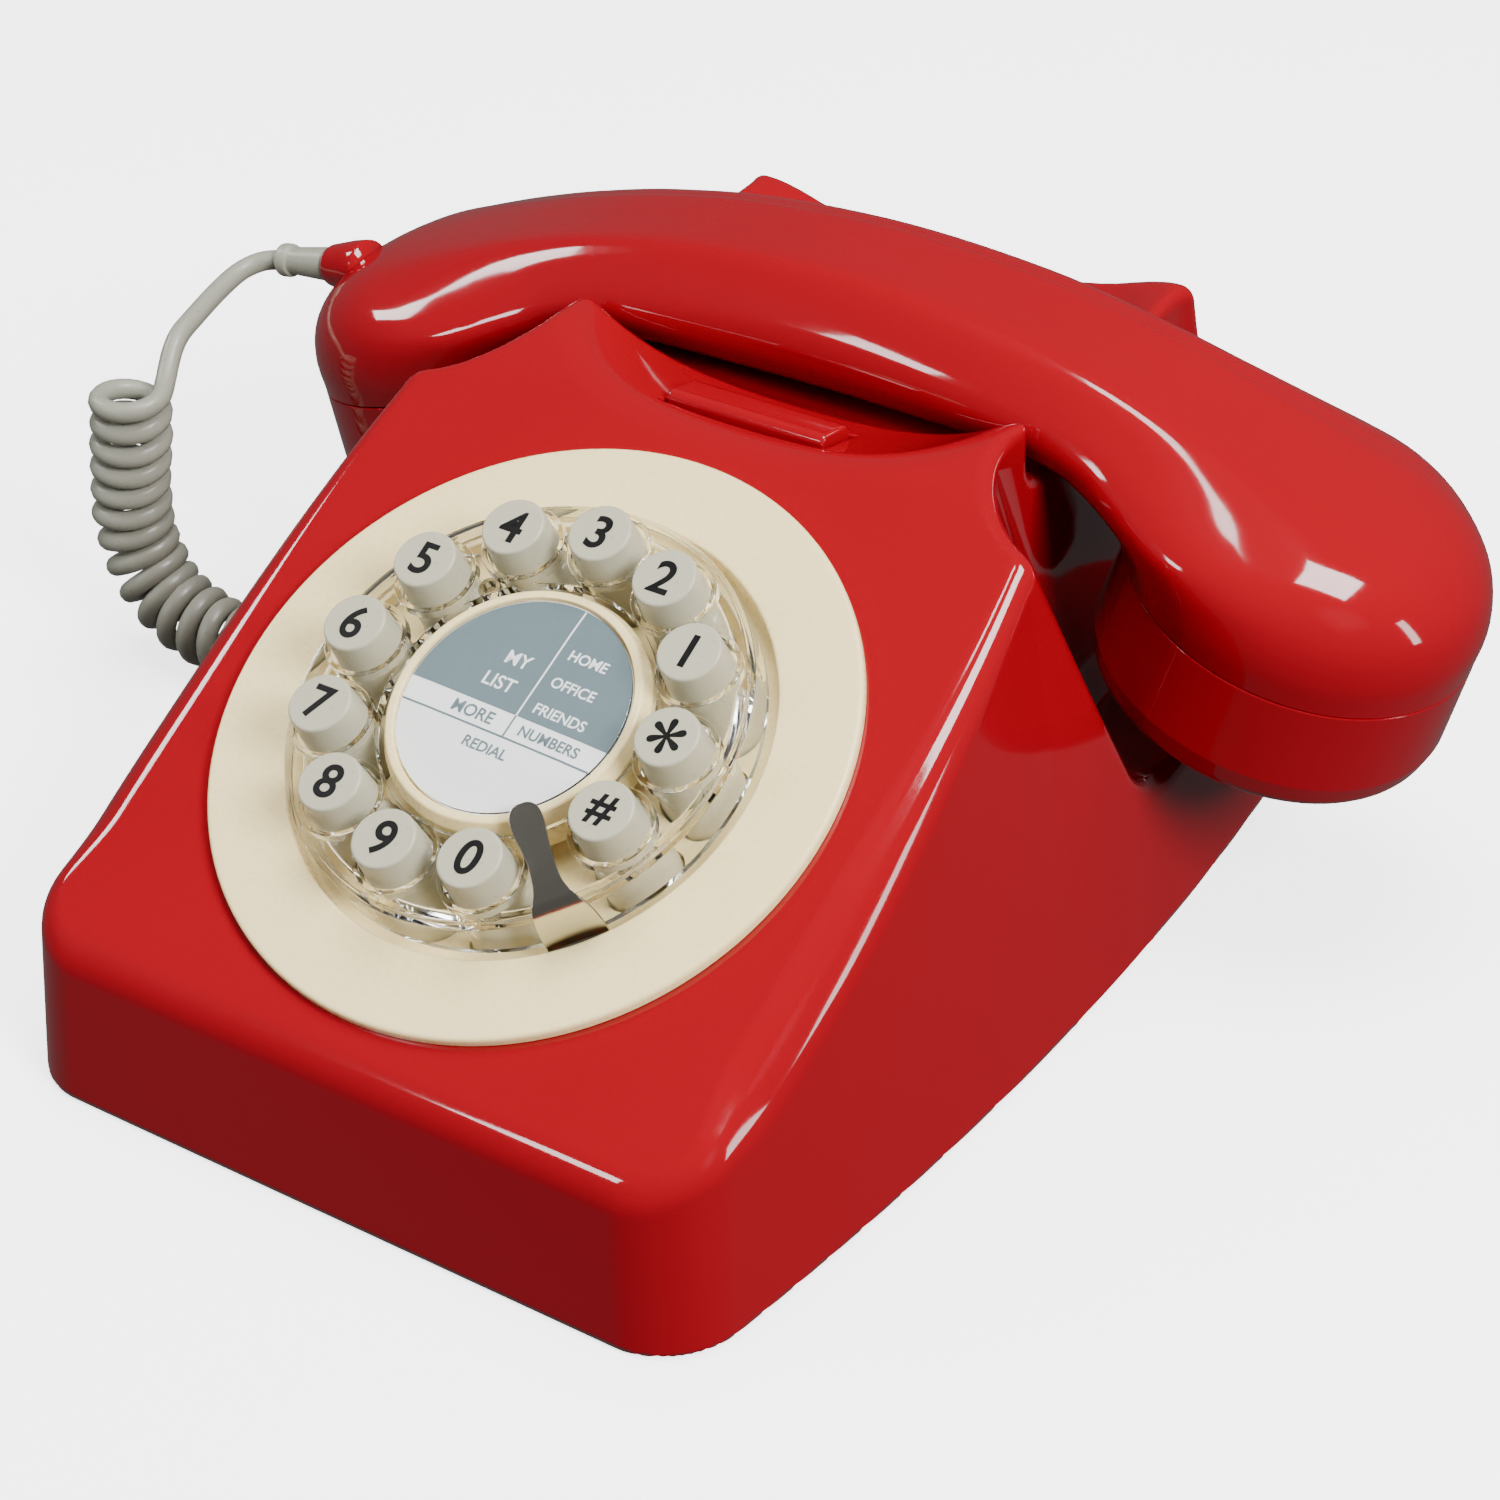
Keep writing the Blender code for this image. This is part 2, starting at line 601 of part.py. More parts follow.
def add_handset_shell(red):
    """The shell is open at both cups, so its outer and inner skins meet at the two rims."""
    half = half_stations()
    right = [(s, 1) for s in half]
    left = [(s, -1) for s in reversed(half[:-1])]
    rows = right + left
    outer = [handset_loop(s, m, 0.0) for s, m in rows]
    inner = [handset_loop(s, m, SHELL_WALL) for s, m in rows]
    loops = outer + inner[::-1]
    count = len(loops[0])
    points = [p for loop in loops for p in loop]
    faces = []
    for i in range(len(loops)):
        for j in range(count):
            k = (j + 1) % count
            n = (i + 1) % len(loops)
            faces.append([i * count + j, i * count + k, n * count + k, n * count + j])
    shell = add_mesh("handset_shell", points, faces, red)
    loops = []
    for x, radius in ((-110.0, 5.0), (-115.3, 3.6)):
        z = 70.0 + (x + 110.0) * 0.15
        ring = arc((HANDSET_Y - 5.5, z), radius, 0, 330, 11)
        loops.append([(x, y, z) for y, z in ring])
    cut(shell, loft("cord_boss", loops), "UNION")


def cup_frame(name, side):
    frame = bpy.data.objects.new(name, None)
    bpy.context.scene.collection.objects.link(frame)
    frame.location = Vector((side * CUP_X, HANDSET_Y, CUP_Z)) * MM
    frame.rotation_euler = (0, side * CUP_TILT, 0)
    return frame


def add_cap(name, frame, red, ring_holes):
    """A screw-on cap, which hangs below the seam of its cup, with sound holes in its dished face."""
    profile = [
        (28.2, -0.3), (CUP_RADIUS, -0.3), (31.0, -16.5), (30.2, -20.0), (27.6, -22.0), (24.0, -CAP_HEIGHT),
        (8.0, -21.5), (0, -21.3), (0, -19.0), (8.0, -19.2), (23.5, -20.0), (27.0, -19.0), (28.6, -16.5),
    ]
    cap = revolve(name, profile, 28, red, frame, closed=True)
    holes = [rod(f"{name}_hole_{i}", 1.3, -26, -17, 6, centre=c) for i, c in enumerate(arc((0, 0), 9, 0, 360 - 360 / ring_holes, ring_holes - 1))]
    holes = joined(f"{name}_holes", holes)
    holes.parent = frame
    cut(cap, holes)


def add_capsule(name, frame, material, radius, top):
    profile = [(0, -17.5), (radius - 3, -17.5), (radius, -14.5), (radius, -9.0), (radius - 6, top), (0, top)]
    revolve(name, profile, 20, material, frame)


def add_handset(red, black, steel):
    add_handset_shell(red)
    ear = cup_frame("ear_frame", 1)
    mouth = cup_frame("mouth_frame", -1)
    add_cap("ear_cap", ear, red, 7)
    add_cap("mouth_cap", mouth, red, 6)
    add_capsule("receiver_capsule", ear, black, 25.0, -3.0)
    add_capsule("microphone_capsule", mouth, black, 22.0, -6.0)
    block("handset_weight", (-22, HANDSET_Y - 7.5, 83.0), (22, HANDSET_Y + 7.5, 90.5), steel)


# ---------------------------------------------------------------- cord


# Routes, measured from the front edge of the case. Each point was chosen by hand.
BOOT_TIP = (-127.5, 150.8, 67.3)
STRAIGHT_ROUTE = [
    (-127.9, 150.7, 67.2), (-131.5, 149.3, 66.5), (-133.6, 145.5, 65.6), (-133.4, 139.0, 64.6), (-131.8, 130.0, 63.4),
    (-130.0, 121.0, 62.0), (-127.6, 114.6, 61.0), (-125.2, 111.6, 60.6),
]
COIL_ROUTE = [
    (-131.0, 110.0, 58.2), (-132.4, 110.0, 48.0), (-134.2, 110.0, 38.0), (-135.0, 110.0, 28.0), (-133.0, 110.0, 19.5),
    (-128.0, 109.8, 13.0), (-120.5, 109.5, 9.6), (-112.0, 109.5, 8.3), (-103.0, 111.0, 8.1), (-95.0, 116.0, 8.1),
    (-90.5, 125.0, 8.1), (-89.0, 137.0, 8.1), (-88.3, 152.0, 8.1), (-87.8, 168.0, 8.1), (-87.3, 183.0, 8.1),
    (-86.0, 196.0, 8.1), (-81.0, 206.5, 8.1), (-72.0, 213.5, 8.1), (-60.0, 216.0, 8.1), (-48.0, 216.3, 8.1),
]
TAIL_ROUTE = [
    (-46.6, 216.3, 8.3), (-42.0, 217.6, 8.8), (-36.5, 219.6, 10.0), (-31.9, 219.2, 12.0), (-30.1, 215.6, 13.6),
    (-30.0, 211.6, 14.1),
]


def from_front(points):
    return [(x, y - DEPTH_MID, z) for x, y, z in points]


def add_cord(grey, clear):
    tip = Vector(from_front([BOOT_TIP])[0])
    root = Vector((-116.3, HANDSET_Y - 5.5, 69.1))
    axis = (tip - root).normalized()
    side = Vector((0, 1, 0))
    up = axis.cross(side).normalized()
    loops = []
    for share, radius in ((0, 3.1), (0.8, 2.6), (0.84, 3.1), (0.95, 3.1), (1.0, 2.6)):
        centre = root.lerp(tip, share)
        ring = arc((0, 0), radius, 0, 330, 11)
        loops.append([centre + side * a + up * b for a, b in ring])
    loft("cord_boot", loops, grey)
    tube("cord_straight", through(from_front(STRAIGHT_ROUTE), 2), CORD_DIAMETER, grey)
    tube("cord_coil", through(from_front(COIL_ROUTE), 2), COIL_DIAMETER, grey)
    tube("cord_tail", through(from_front(TAIL_ROUTE), 2), CORD_DIAMETER, grey)
    plug = [(-34.2, 192.5), (-25.8, 192.5), (-25.8, 203.5), (-27.0, 211.2), (-33.0, 211.2), (-34.2, 203.5)]
    slab("cord_plug", [(x, y - DEPTH_MID) for x, y in plug], 11.2, 17.0, clear)


def main():
    clear_scene()
    red = plastic("red_abs", (0.62, 0.014, 0.02), 0.12)
    cream = plastic("cream_abs", (0.88, 0.77, 0.52), 0.3)
    grey = plastic("grey_button_plastic", (0.4, 0.4, 0.32), 0.4)
    clear = plastic("clear_acrylic", (0.95, 0.96, 0.93), 0.04, transmission=0.9)
    steel = plastic("bright_steel", (0.6, 0.58, 0.55), 0.18, metallic=1.0)
    paper = plastic("label_card", (0.75, 0.78, 0.78), 0.6)
    black = plastic("black_plastic", (0.02, 0.02, 0.02), 0.45)
    rubber = plastic("soft_rubber", (0.05, 0.05, 0.05), 0.8)
    board = plastic("circuit_board", (0.02, 0.16, 0.06), 0.5)
    cord = plastic("grey_pvc", (0.37, 0.37, 0.3), 0.4)
    add_case(red)
    add_base(black, rubber, steel)
    frame = dial_frame()
    add_faceplate(frame, cream)
    add_wheel(frame, clear)
    add_finger_stop(frame, steel)
    add_buttons(frame, grey)
    add_redial(frame, cream, paper, clear)
    add_keypad(frame, rubber, board)
    add_hook(red, steel, black)
    add_inside(board, black, black)
    add_handset(red, black, steel)
    add_cord(cord, clear)


main()
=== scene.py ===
"""Studio scene of a glossy red desk telephone: push buttons in a clear wheel, a handset and a coiled cord.

Lengths inside a section are in millimetres where they describe a shape, and are turned into metres when
its mesh is made. Y counts from the middle of the case, and the telephone stands on Z = 0.
"""

import math

import bmesh
import bpy
import numpy as np
from mathutils import Euler, Matrix, Vector


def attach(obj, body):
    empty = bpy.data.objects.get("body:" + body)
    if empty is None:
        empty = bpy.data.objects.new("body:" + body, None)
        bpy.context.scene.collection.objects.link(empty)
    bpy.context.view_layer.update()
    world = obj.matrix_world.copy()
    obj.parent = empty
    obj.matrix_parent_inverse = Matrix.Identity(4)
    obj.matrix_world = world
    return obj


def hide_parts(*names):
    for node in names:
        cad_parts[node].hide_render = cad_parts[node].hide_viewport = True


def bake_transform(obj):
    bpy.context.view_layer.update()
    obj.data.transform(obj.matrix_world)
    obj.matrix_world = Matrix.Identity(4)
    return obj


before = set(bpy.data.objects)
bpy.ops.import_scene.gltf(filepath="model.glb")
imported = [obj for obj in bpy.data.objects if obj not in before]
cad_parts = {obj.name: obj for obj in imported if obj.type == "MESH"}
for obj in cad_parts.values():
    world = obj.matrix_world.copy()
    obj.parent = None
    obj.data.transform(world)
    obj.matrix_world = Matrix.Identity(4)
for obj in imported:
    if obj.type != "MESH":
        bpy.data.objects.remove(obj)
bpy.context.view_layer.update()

# ------------------------------------------------------------------ camera
# A long lens stands to the right of the front and above it, so the front face and the right side both show.
# It leans by under a degree, and its small shift frames the telephone a little low and left.
camera = bpy.data.objects.new("camera", bpy.data.cameras.new("camera"))
bpy.context.scene.collection.objects.link(camera)
camera.location = (0.27598, -0.38723, 0.35535)
camera.rotation_euler = Euler([math.radians(a) for a in (55.9037, 0.7990, 32.6565)])
camera.data.lens = 81.19
camera.data.sensor_width = 36
camera.data.shift_x = -0.0398
camera.data.shift_y = -0.0203
camera.data.clip_start = 0.01
bpy.context.scene.camera = camera

# ------------------------------------------------------------------ handset cord
# Grey-green PVC, wound into a tight coil that springs back. It leaves a ribbed sleeve on the left cup,
# drops in its coil to the desk, and runs behind the case to a small plug in the rear wall.
MM = 0.001


def colour(hex_code):
    """Linear colour of an sRGB hex code."""
    levels = [int(hex_code[i : i + 2], 16) / 255 for i in (1, 3, 5)]
    return (*(c / 12.92 if c <= 0.04045 else ((c + 0.055) / 1.055) ** 2.4 for c in levels), 1.0)


def new_material(name):
    material = bpy.data.materials.new(name)
    material.use_nodes = True
    return material


def set_inputs(material, node, inputs):
    """Sets a node's inputs. Each is a value, or the socket of another node that it is linked to."""
    for name, value in inputs.items():
        if isinstance(value, bpy.types.NodeSocket):
            material.node_tree.links.new(value, node.inputs[name])
        else:
            node.inputs[name].default_value = value


def add_node(material, kind, inputs, **settings):
    """Adds a node with its settings, and then its values and links."""
    node = material.node_tree.nodes.new(kind)
    for name, value in settings.items():
        setattr(node, name, value)
    set_inputs(material, node, inputs)
    return node


def surface(material, inputs):
    """Sets the shader's own sockets, by value or by link."""
    set_inputs(material, material.node_tree.nodes["Principled BSDF"], inputs)
    return material


def moulded_plastic(name, tone, tone_2, roughness, ripple_mm=9.0, ripple=0.02, grain=0.01, **extra):
    """Moulded plastic: a slow change of tone, a fine grain in the gloss, and the slight ripple of the mould."""
    material = new_material(name)
    place = add_node(material, "ShaderNodeTexCoord", {}).outputs["Object"]
    slow = add_node(material, "ShaderNodeTexNoise", {"Vector": place, "Scale": 22.0, "Detail": 2.0})
    tones = {"Factor": slow.outputs["Fac"], "A": colour(tone), "B": colour(tone_2)}
    mix = add_node(material, "ShaderNodeMix", tones, data_type="RGBA")
    fine = add_node(material, "ShaderNodeTexNoise", {"Vector": place, "Scale": 900.0, "Detail": 3.0})
    spread = {"From Min": 0.3, "From Max": 0.7, "To Min": roughness * 0.8, "To Max": roughness * 1.25}
    gloss = add_node(material, "ShaderNodeMapRange", {"Value": fine.outputs["Fac"], **spread})
    wave = add_node(material, "ShaderNodeTexNoise", {"Vector": place, "Scale": 1000 / ripple_mm, "Detail": 1.0})
    rippled = {"Strength": ripple, "Distance": 0.001, "Height": wave.outputs["Fac"]}
    bump = add_node(material, "ShaderNodeBump", rippled)
    grained = {"Strength": grain, "Distance": 0.0003, "Height": fine.outputs["Fac"], "Normal": bump.outputs["Normal"]}
    bump_2 = add_node(material, "ShaderNodeBump", grained)
    look = {"Base Color": mix.outputs["Result"], "Roughness": gloss.outputs["Result"]}
    return surface(material, {**look, "Normal": bump_2.outputs["Normal"], **extra})


# Grey PVC: a soft satin jacket with a faint mottle, and it catches a broad pale highlight on each turn.
grey_pvc = moulded_plastic("grey_pvc", "#8E8E80", "#848478", 0.33, ripple_mm=3.0, ripple=0.05, grain=0.05)


def smooth_line(knots, steps):
    """Points on a smooth curve from the second knot to the last but one, with this many steps between each two."""
    line = []
    for a, b, c, d in zip(knots, knots[1:], knots[2:], knots[3:]):
        for i in range(steps):
            t = i / steps
            line.append(
                0.5 * (2 * b + (c - a) * t + (2 * a - 5 * b + 4 * c - d) * t**2 + (3 * b - a - 3 * c + d) * t**3)
            )
    line.append(knots[-2])
    return line


def through(points, steps):
    """Points along a smooth curve through all the given ones."""
    knots = [Vector(p) for p in points]
    return smooth_line([2 * knots[0] - knots[1], *knots, 2 * knots[-1] - knots[-2]], steps)


def evenly(line, count):
    """The same line with its points at equal distances."""
    line = np.array([tuple(p) for p in line])
    reach = np.concatenate([[0], np.cumsum(np.linalg.norm(np.diff(line, axis=0), axis=1))])
    marks = np.linspace(0, reach[-1], count)
    return np.stack([np.interp(marks, reach, line[:, i]) for i in range(3)], 1)


def side_vectors(line):
    """Two unit vectors square to the line at each point, which turn as little as possible along it."""
    along = np.gradient(line, axis=0)
    along /= np.linalg.norm(along, axis=1)[:, None]
    first = [np.cross(along[0], (0.3, 0.2, 0.93))]
    first[0] /= np.linalg.norm(first[0])
    for t in along[1:]:
        n = first[-1] - t * (first[-1] @ t)
        first.append(n / np.linalg.norm(n))
    first = np.array(first)
    return first, np.cross(along, first)


def mesh_object(name, points, faces, material, scale=MM):
    """A smooth object from points in millimetres, with its faces pointing out."""
    mesh = bpy.data.meshes.new(name)
    mesh.from_pydata([tuple(c * scale for c in p) for p in points], [], faces)
    work = bmesh.new()
    work.from_mesh(mesh)
    bmesh.ops.recalc_face_normals(work, faces=work.faces)
    if work.calc_volume(signed=True) < 0:
        bmesh.ops.reverse_faces(work, faces=work.faces)
    work.to_mesh(mesh)
    work.free()
    mesh.shade_smooth()
    obj = bpy.data.objects.new(name, mesh)
    bpy.context.scene.collection.objects.link(obj)
    mesh.materials.append(material)
    return obj


def round_tube(name, line, radius, sides, material):
    """A tube along a line in millimetres. The radius is one number, or one for each point."""
    line = np.asarray(line, float)
    a, b = side_vectors(line)
    radius = np.broadcast_to(radius, len(line))
    points = []
    for p, u, v, r in zip(line, a, b, radius):
        for j in range(sides):
            t = math.tau * j / sides
            points.append(p + (u * math.cos(t) + v * math.sin(t)) * r)
    faces = [list(range(sides))]
    for i in range(len(line) - 1):
        for j in range(sides):
            k = (j + 1) % sides
            faces.append([i * sides + j, i * sides + k, (i + 1) * sides + k, (i + 1) * sides + j])
    last = (len(line) - 1) * sides
    faces.append([last + j for j in range(sides)])
    return mesh_object(name, points, faces, material)


# The cord's route in millimetres, with Y counted from the front edge of the case, half its depth from the middle.
DEPTH_MID = 102.5
STRAIGHT_ROUTE = [
    (-127.9, 150.7, 67.2), (-131.5, 149.3, 66.5), (-133.6, 145.5, 65.6), (-133.4, 139.0, 64.6), (-131.8, 130.0, 63.4),
    (-130.0, 121.0, 62.0), (-127.6, 114.6, 61.0), (-125.2, 111.6, 60.6),
]
COIL_ROUTE = [
    (-131.0, 110.0, 58.2), (-132.4, 110.0, 48.0), (-134.2, 110.0, 38.0), (-135.0, 110.0, 28.0), (-133.0, 110.0, 19.5),
    (-128.0, 109.8, 13.0), (-120.5, 109.5, 9.6), (-112.0, 109.5, 8.3), (-103.0, 111.0, 8.1), (-95.0, 116.0, 8.1),
    (-90.5, 125.0, 8.1), (-89.0, 137.0, 8.1), (-88.3, 152.0, 8.1), (-87.8, 168.0, 8.1), (-87.3, 183.0, 8.1),
    (-86.0, 196.0, 8.1), (-81.0, 206.5, 8.1), (-72.0, 213.5, 8.1), (-60.0, 216.0, 8.1), (-48.0, 216.3, 8.1),
]
TAIL_ROUTE = [
    (-46.6, 216.3, 8.3), (-42.0, 217.6, 8.8), (-36.5, 219.6, 10.0), (-31.9, 219.2, 12.0), (-30.1, 215.6, 13.6),
    (-30.0, 211.6, 14.1),
]
CORD_DIAMETER = 3.9
COIL_DIAMETER = 15.5
COIL_TURNS = 43
TURN_POINTS = 24


def from_front(points):
    return [(x, y - DEPTH_MID, z) for x, y, z in points]


def coil_line():
    """A helix round the coil's route, which tightens onto its first and last turns."""
    spine = evenly(through(from_front(COIL_ROUTE), 12), COIL_TURNS * TURN_POINTS + 1)
    a, b = side_vectors(spine)
    reach = (COIL_DIAMETER - CORD_DIAMETER) / 2
    angle = math.tau * np.arange(len(spine)) / TURN_POINTS + math.radians(200)
    wobble = 1 + 0.012 * np.sin(angle * 0.37) + 0.01 * np.sin(angle * 0.113 + 1.0)
    return spine + (a * np.cos(angle)[:, None] + b * np.sin(angle)[:, None]) * (reach * wobble)[:, None]


def unit(vector):
    return vector / np.linalg.norm(vector)


def bridge(start, heading, end, arrival):
    """A smooth length of cord that leaves one point and arrives at another, each in its own direction."""
    reach = np.linalg.norm(end - start) * 1.15
    t = np.linspace(0, 1, 14)[:, None]
    return (
        start * (2 * t**3 - 3 * t**2 + 1)
        + unit(heading) * reach * (t**3 - 2 * t**2 + t)
        + end * (3 * t**2 - 2 * t**3)
        + unit(arrival) * reach * (t**3 - t**2)
    )


def sharpest(line):
    """The sine of the largest turn between two steps of a line, over their length."""
    steps = np.diff(line, axis=0)
    length = np.linalg.norm(steps, axis=1)
    turn = np.linalg.norm(np.cross(steps[:-1], steps[1:]), axis=1) / (length[:-1] * length[1:])
    return float((turn / (length[:-1] + length[1:])).max())


helix = coil_line()
straight = evenly(through(from_front(STRAIGHT_ROUTE), 10), 40)[:-14]
tail = evenly(through(from_front(TAIL_ROUTE), 10), 24)[5:]
# The cord runs onto the coil, and off it, wherever on the turn its bend is gentlest.
lead_in = {
    i: bridge(straight[-1], straight[-1] - straight[-2], helix[i], helix[i + 1] - helix[i - 1])
    for i in range(TURN_POINTS // 4, TURN_POINTS // 2 + 1)
}
first = min(lead_in, key=lambda i: sharpest(lead_in[i]))
lead_out = {
    i: bridge(helix[i], helix[i + 1] - helix[i - 1], tail[0], tail[1] - tail[0])
    for i in range(len(helix) - 2 * TURN_POINTS, len(helix) - 1)
}
last = min(lead_out, key=lambda i: sharpest(lead_out[i]))
cord_line = np.concatenate([straight[:-1], lead_in[first][:-1], helix[first:last], lead_out[last][:-1], tail])
handset_cord = round_tube("handset_cord", cord_line, CORD_DIAMETER / 2, 12, grey_pvc)
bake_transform(handset_cord)
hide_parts("cord_straight", "cord_coil", "cord_tail")

# The sleeve is moulded onto the cord in the same PVC: it tapers, and ends in a beaded collar.
sleeve_root = Vector((-115.9, 48.5, 69.2))
sleeve_tip = Vector((-127.5, 48.3, 67.3))
# Each is a share of the sleeve's length, ten times over, and its radius there.
SLEEVE_SHAPE = [
    (0, 3.15), (0.6, 3.2), (3.0, 3.0), (6.2, 2.72), (7.4, 2.66), (7.7, 3.05), (8.1, 3.2), (9.3, 3.2),
    (9.7, 3.0), (10.0, 2.4), (10.2, 1.9),
]
sleeve_points = through([(share, radius, 0) for share, radius in SLEEVE_SHAPE], 3)
sleeve_line = [sleeve_root.lerp(sleeve_tip, p.x / 10) for p in sleeve_points]
cord_sleeve = round_tube("cord_sleeve", sleeve_line, [p.y for p in sleeve_points], 32, grey_pvc)
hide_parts("cord_boot")
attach(cord_sleeve, "handset")

# ------------------------------------------------------------------ case
# The case is one moulding in glossy red ABS: a sloping face for the dial, four horns that cradle the handset,
# and a room beside the neck for each cup. Its edges are rounded with radii that change along them.
FACE_TILT = math.radians(27.1)
DIAL_FROM_FRONT = 57.7
DIAL_Z = 57.0
HORN_TOP = 89.5
HANDSET_FROM_FRONT = 156.5
HOOK_FROM_FRONT = 122.8
NECK_HALF_WIDTH = 44.5
HALF_WIDTH = 75.3
WIDEST_FROM_FRONT = 115
SIDE_CURVE = 7.6e-4
CASE_DEPTH = 205

# Red ABS: deep gloss over a strong red, sharp white reflections, and a hint of ripple from the mould.
red_abs = moulded_plastic(
    "red_abs", "#8C0012", "#860010", 0.07, ripple_mm=14.0, ripple=0.012, grain=0.006,
    **{"Coat Weight": 0.3, "Coat Roughness": 0.03}
)


def both(a, b, radius):
    """Where both of two solids are, with a round edge of this radius between their faces."""
    corner = np.hypot(np.maximum(radius + a, 0), np.maximum(radius + b, 0))
    return np.minimum(-radius, np.maximum(a, b)) + corner


def ease(value, low, high):
    t = np.clip((value - low) / (high - low), 0, 1)
    return t * t * (3 - 2 * t)


def case_field(x, y, z):
    """Distance from the case's skin in millimetres, below zero inside it. y counts from the front edge."""
    x = np.abs(x)
    # The outer form: walls that lean in as they rise, the sloping face, and the level tops of the horns.
    face = (z - DIAL_Z) * math.cos(FACE_TILT) - (y - DIAL_FROM_FRONT) * math.sin(FACE_TILT)
    draft = np.minimum(0.062 + 0.00103 * y, 0.17)
    side = x - (HALF_WIDTH - SIDE_CURVE * (y - WIDEST_FROM_FRONT) ** 2 - draft * z)
    front = (0.09 * z - y) * 0.996
    rear = (y - CASE_DEPTH + 0.14 * z) * 0.99
    walls = both(both(side, front, 12), rear, 13)
    top = both(face, z - HORN_TOP, 5)
    edge = 3.4 + 4.4 * ease(y, 6, 26) - 4.6 * ease(y, 40, 112)
    skin = both(walls, top, edge)
    # The dish between the horns, and the trough in it that the handle lies over.
    from_handle = np.abs(y - HANDSET_FROM_FRONT) - 20.3
    dish = 79.0 + 0.236 * from_handle + 0.0024 * x**2 + 1.6e-6 * x**4
    skin = both(skin, (z - dish) * 0.95, 2.6)
    trough = both(from_handle, 76.3 - z, 5)
    skin = both(skin, -trough, 2.2)
    # The room for each cup beside the neck, which flares out to the rear wall, and the rim round the bottom.
    flare = 14 - np.sqrt(196 - np.clip(y - 186, 0, 13.6) ** 2)
    room = both(NECK_HALF_WIDTH + flare - x, (107 + 0.447 * (82 - z) - y) * 0.91, 24)
    room = both(room, 26 - z, 7)
    skin = both(skin, -room, 2.6)
    return both(skin, 0.2 - z, 0.8)


WALL = 2.9


def slots_field(x, y, z):
    """The openings: for the dial, the hook bar, the base plate, and the sockets and switches in the rear wall."""
    v = (y - DIAL_FROM_FRONT) * math.cos(FACE_TILT) + (z - DIAL_Z) * math.sin(FACE_TILT)
    w = (z - DIAL_Z) * math.cos(FACE_TILT) - (y - DIAL_FROM_FRONT) * math.sin(FACE_TILT)
    dial = np.maximum(np.hypot(x, v) - 43.6, -14 - w)
    hook = np.maximum(np.maximum(np.abs(x) - 15.9, np.abs(y - HOOK_FROM_FRONT) - 4.7), 72 - z)
    plate_side = np.abs(x) - (HALF_WIDTH - WALL) + SIDE_CURVE * (y - WIDEST_FROM_FRONT) ** 2 + 0.1 * z
    plate_ends = y - (CASE_DEPTH - WALL) + 0.14 * z
    plate = np.maximum(both(both(plate_side, WALL + 0.09 * z - y, 9), plate_ends, 10), z - 6)
    jacks = np.maximum(np.maximum(np.abs(np.abs(x) - 30) - 5.3, np.abs(z - 14.1) - 3.8), 184 - y)
    knobs = np.maximum(np.maximum(np.abs(np.abs(x) - 12) - 5.0, np.abs(z - 30) - 2.3), 192 - y)
    return np.minimum(np.minimum(np.minimum(dial, hook), np.minimum(plate, jacks)), knobs)


def red_shell(x, y, z):
    return both(case_field(x, y, z), -slots_field(x, y, z), 0.5)


def skin_of(name, field, low, high, step, material):
    """A mesh of the surface where a field is zero: one point in each grid cell that it passes through,
    moved onto the surface along the field's slope, which also gives the shading normals."""
    axes = [np.arange(a, b + step, step) for a, b in zip(low, high)]
    values = field(*np.meshgrid(*axes, indexing="ij", sparse=True))
    inside = values < 0
    corners = sum(
        inside[i : inside.shape[0] - 1 + i, j : inside.shape[1] - 1 + j, k : inside.shape[2] - 1 + k].astype(int)
        for i in (0, 1)
        for j in (0, 1)
        for k in (0, 1)
    )
    cells = np.argwhere((corners > 0) & (corners < 8))
    number = np.full(corners.shape, -1)
    number[tuple(cells.T)] = np.arange(len(cells))
    total = np.zeros((len(cells), 3))
    hits = np.zeros(len(cells))
    for axis in range(3):
        along = np.eye(3, dtype=int)[axis]
        first, second = np.eye(3, dtype=int)[[i for i in range(3) if i != axis]]
        for offset in (0 * first, first, second, first + second):
            start = cells + offset
            a = values[tuple(start.T)]
            b = values[tuple((start + along).T)]
            crossed = (a < 0) != (b < 0)
            share = a[crossed] / (a[crossed] - b[crossed])
            total[crossed] += start[crossed] + share[:, None] * along
            hits[crossed] += 1
    points = np.array(low) + total / hits[:, None] * step
    faces = []
    for axis in range(3):
        first, second = np.eye(3, dtype=int)[[i for i in range(3) if i != axis]]
        if axis == 1:
            first, second = second, first
        before = np.moveaxis(inside, axis, 0)[:-1]
        after = np.moveaxis(inside, axis, 0)[1:]
        for found, flip in ((before & ~after, False), (~before & after, True)):
            at = np.argwhere(np.moveaxis(found, 0, axis))
            ring = [at, at - first, at - first - second, at - second]
            quad = np.stack([number[tuple(r.T)] for r in ring], 1)
            faces.append(quad[:, ::-1] if flip else quad)
    faces = np.concatenate(faces)
    for _ in range(5):
        slope = np.stack([field(*(points + d).T) - field(*(points - d).T) for d in np.eye(3) * 0.02], 1) / 0.04
        size = np.maximum((slope**2).sum(1), 0.2)
        move = -slope * (field(*points.T) / size)[:, None]
        points = points + np.clip(move, -0.4 * step, 0.4 * step)
    normals = slope / np.linalg.norm(slope, axis=1)[:, None]
    mesh = bpy.data.meshes.new(name)
    mesh.from_pydata((points * MM - (0, DEPTH_MID * MM, 0)).tolist(), [], faces.tolist())
    mesh.shade_smooth()
    mesh.normals_split_custom_set_from_vertices(normals.tolist())
    mesh.materials.append(material)
    obj = bpy.data.objects.new(name, mesh)
    bpy.context.scene.collection.objects.link(obj)
    return obj


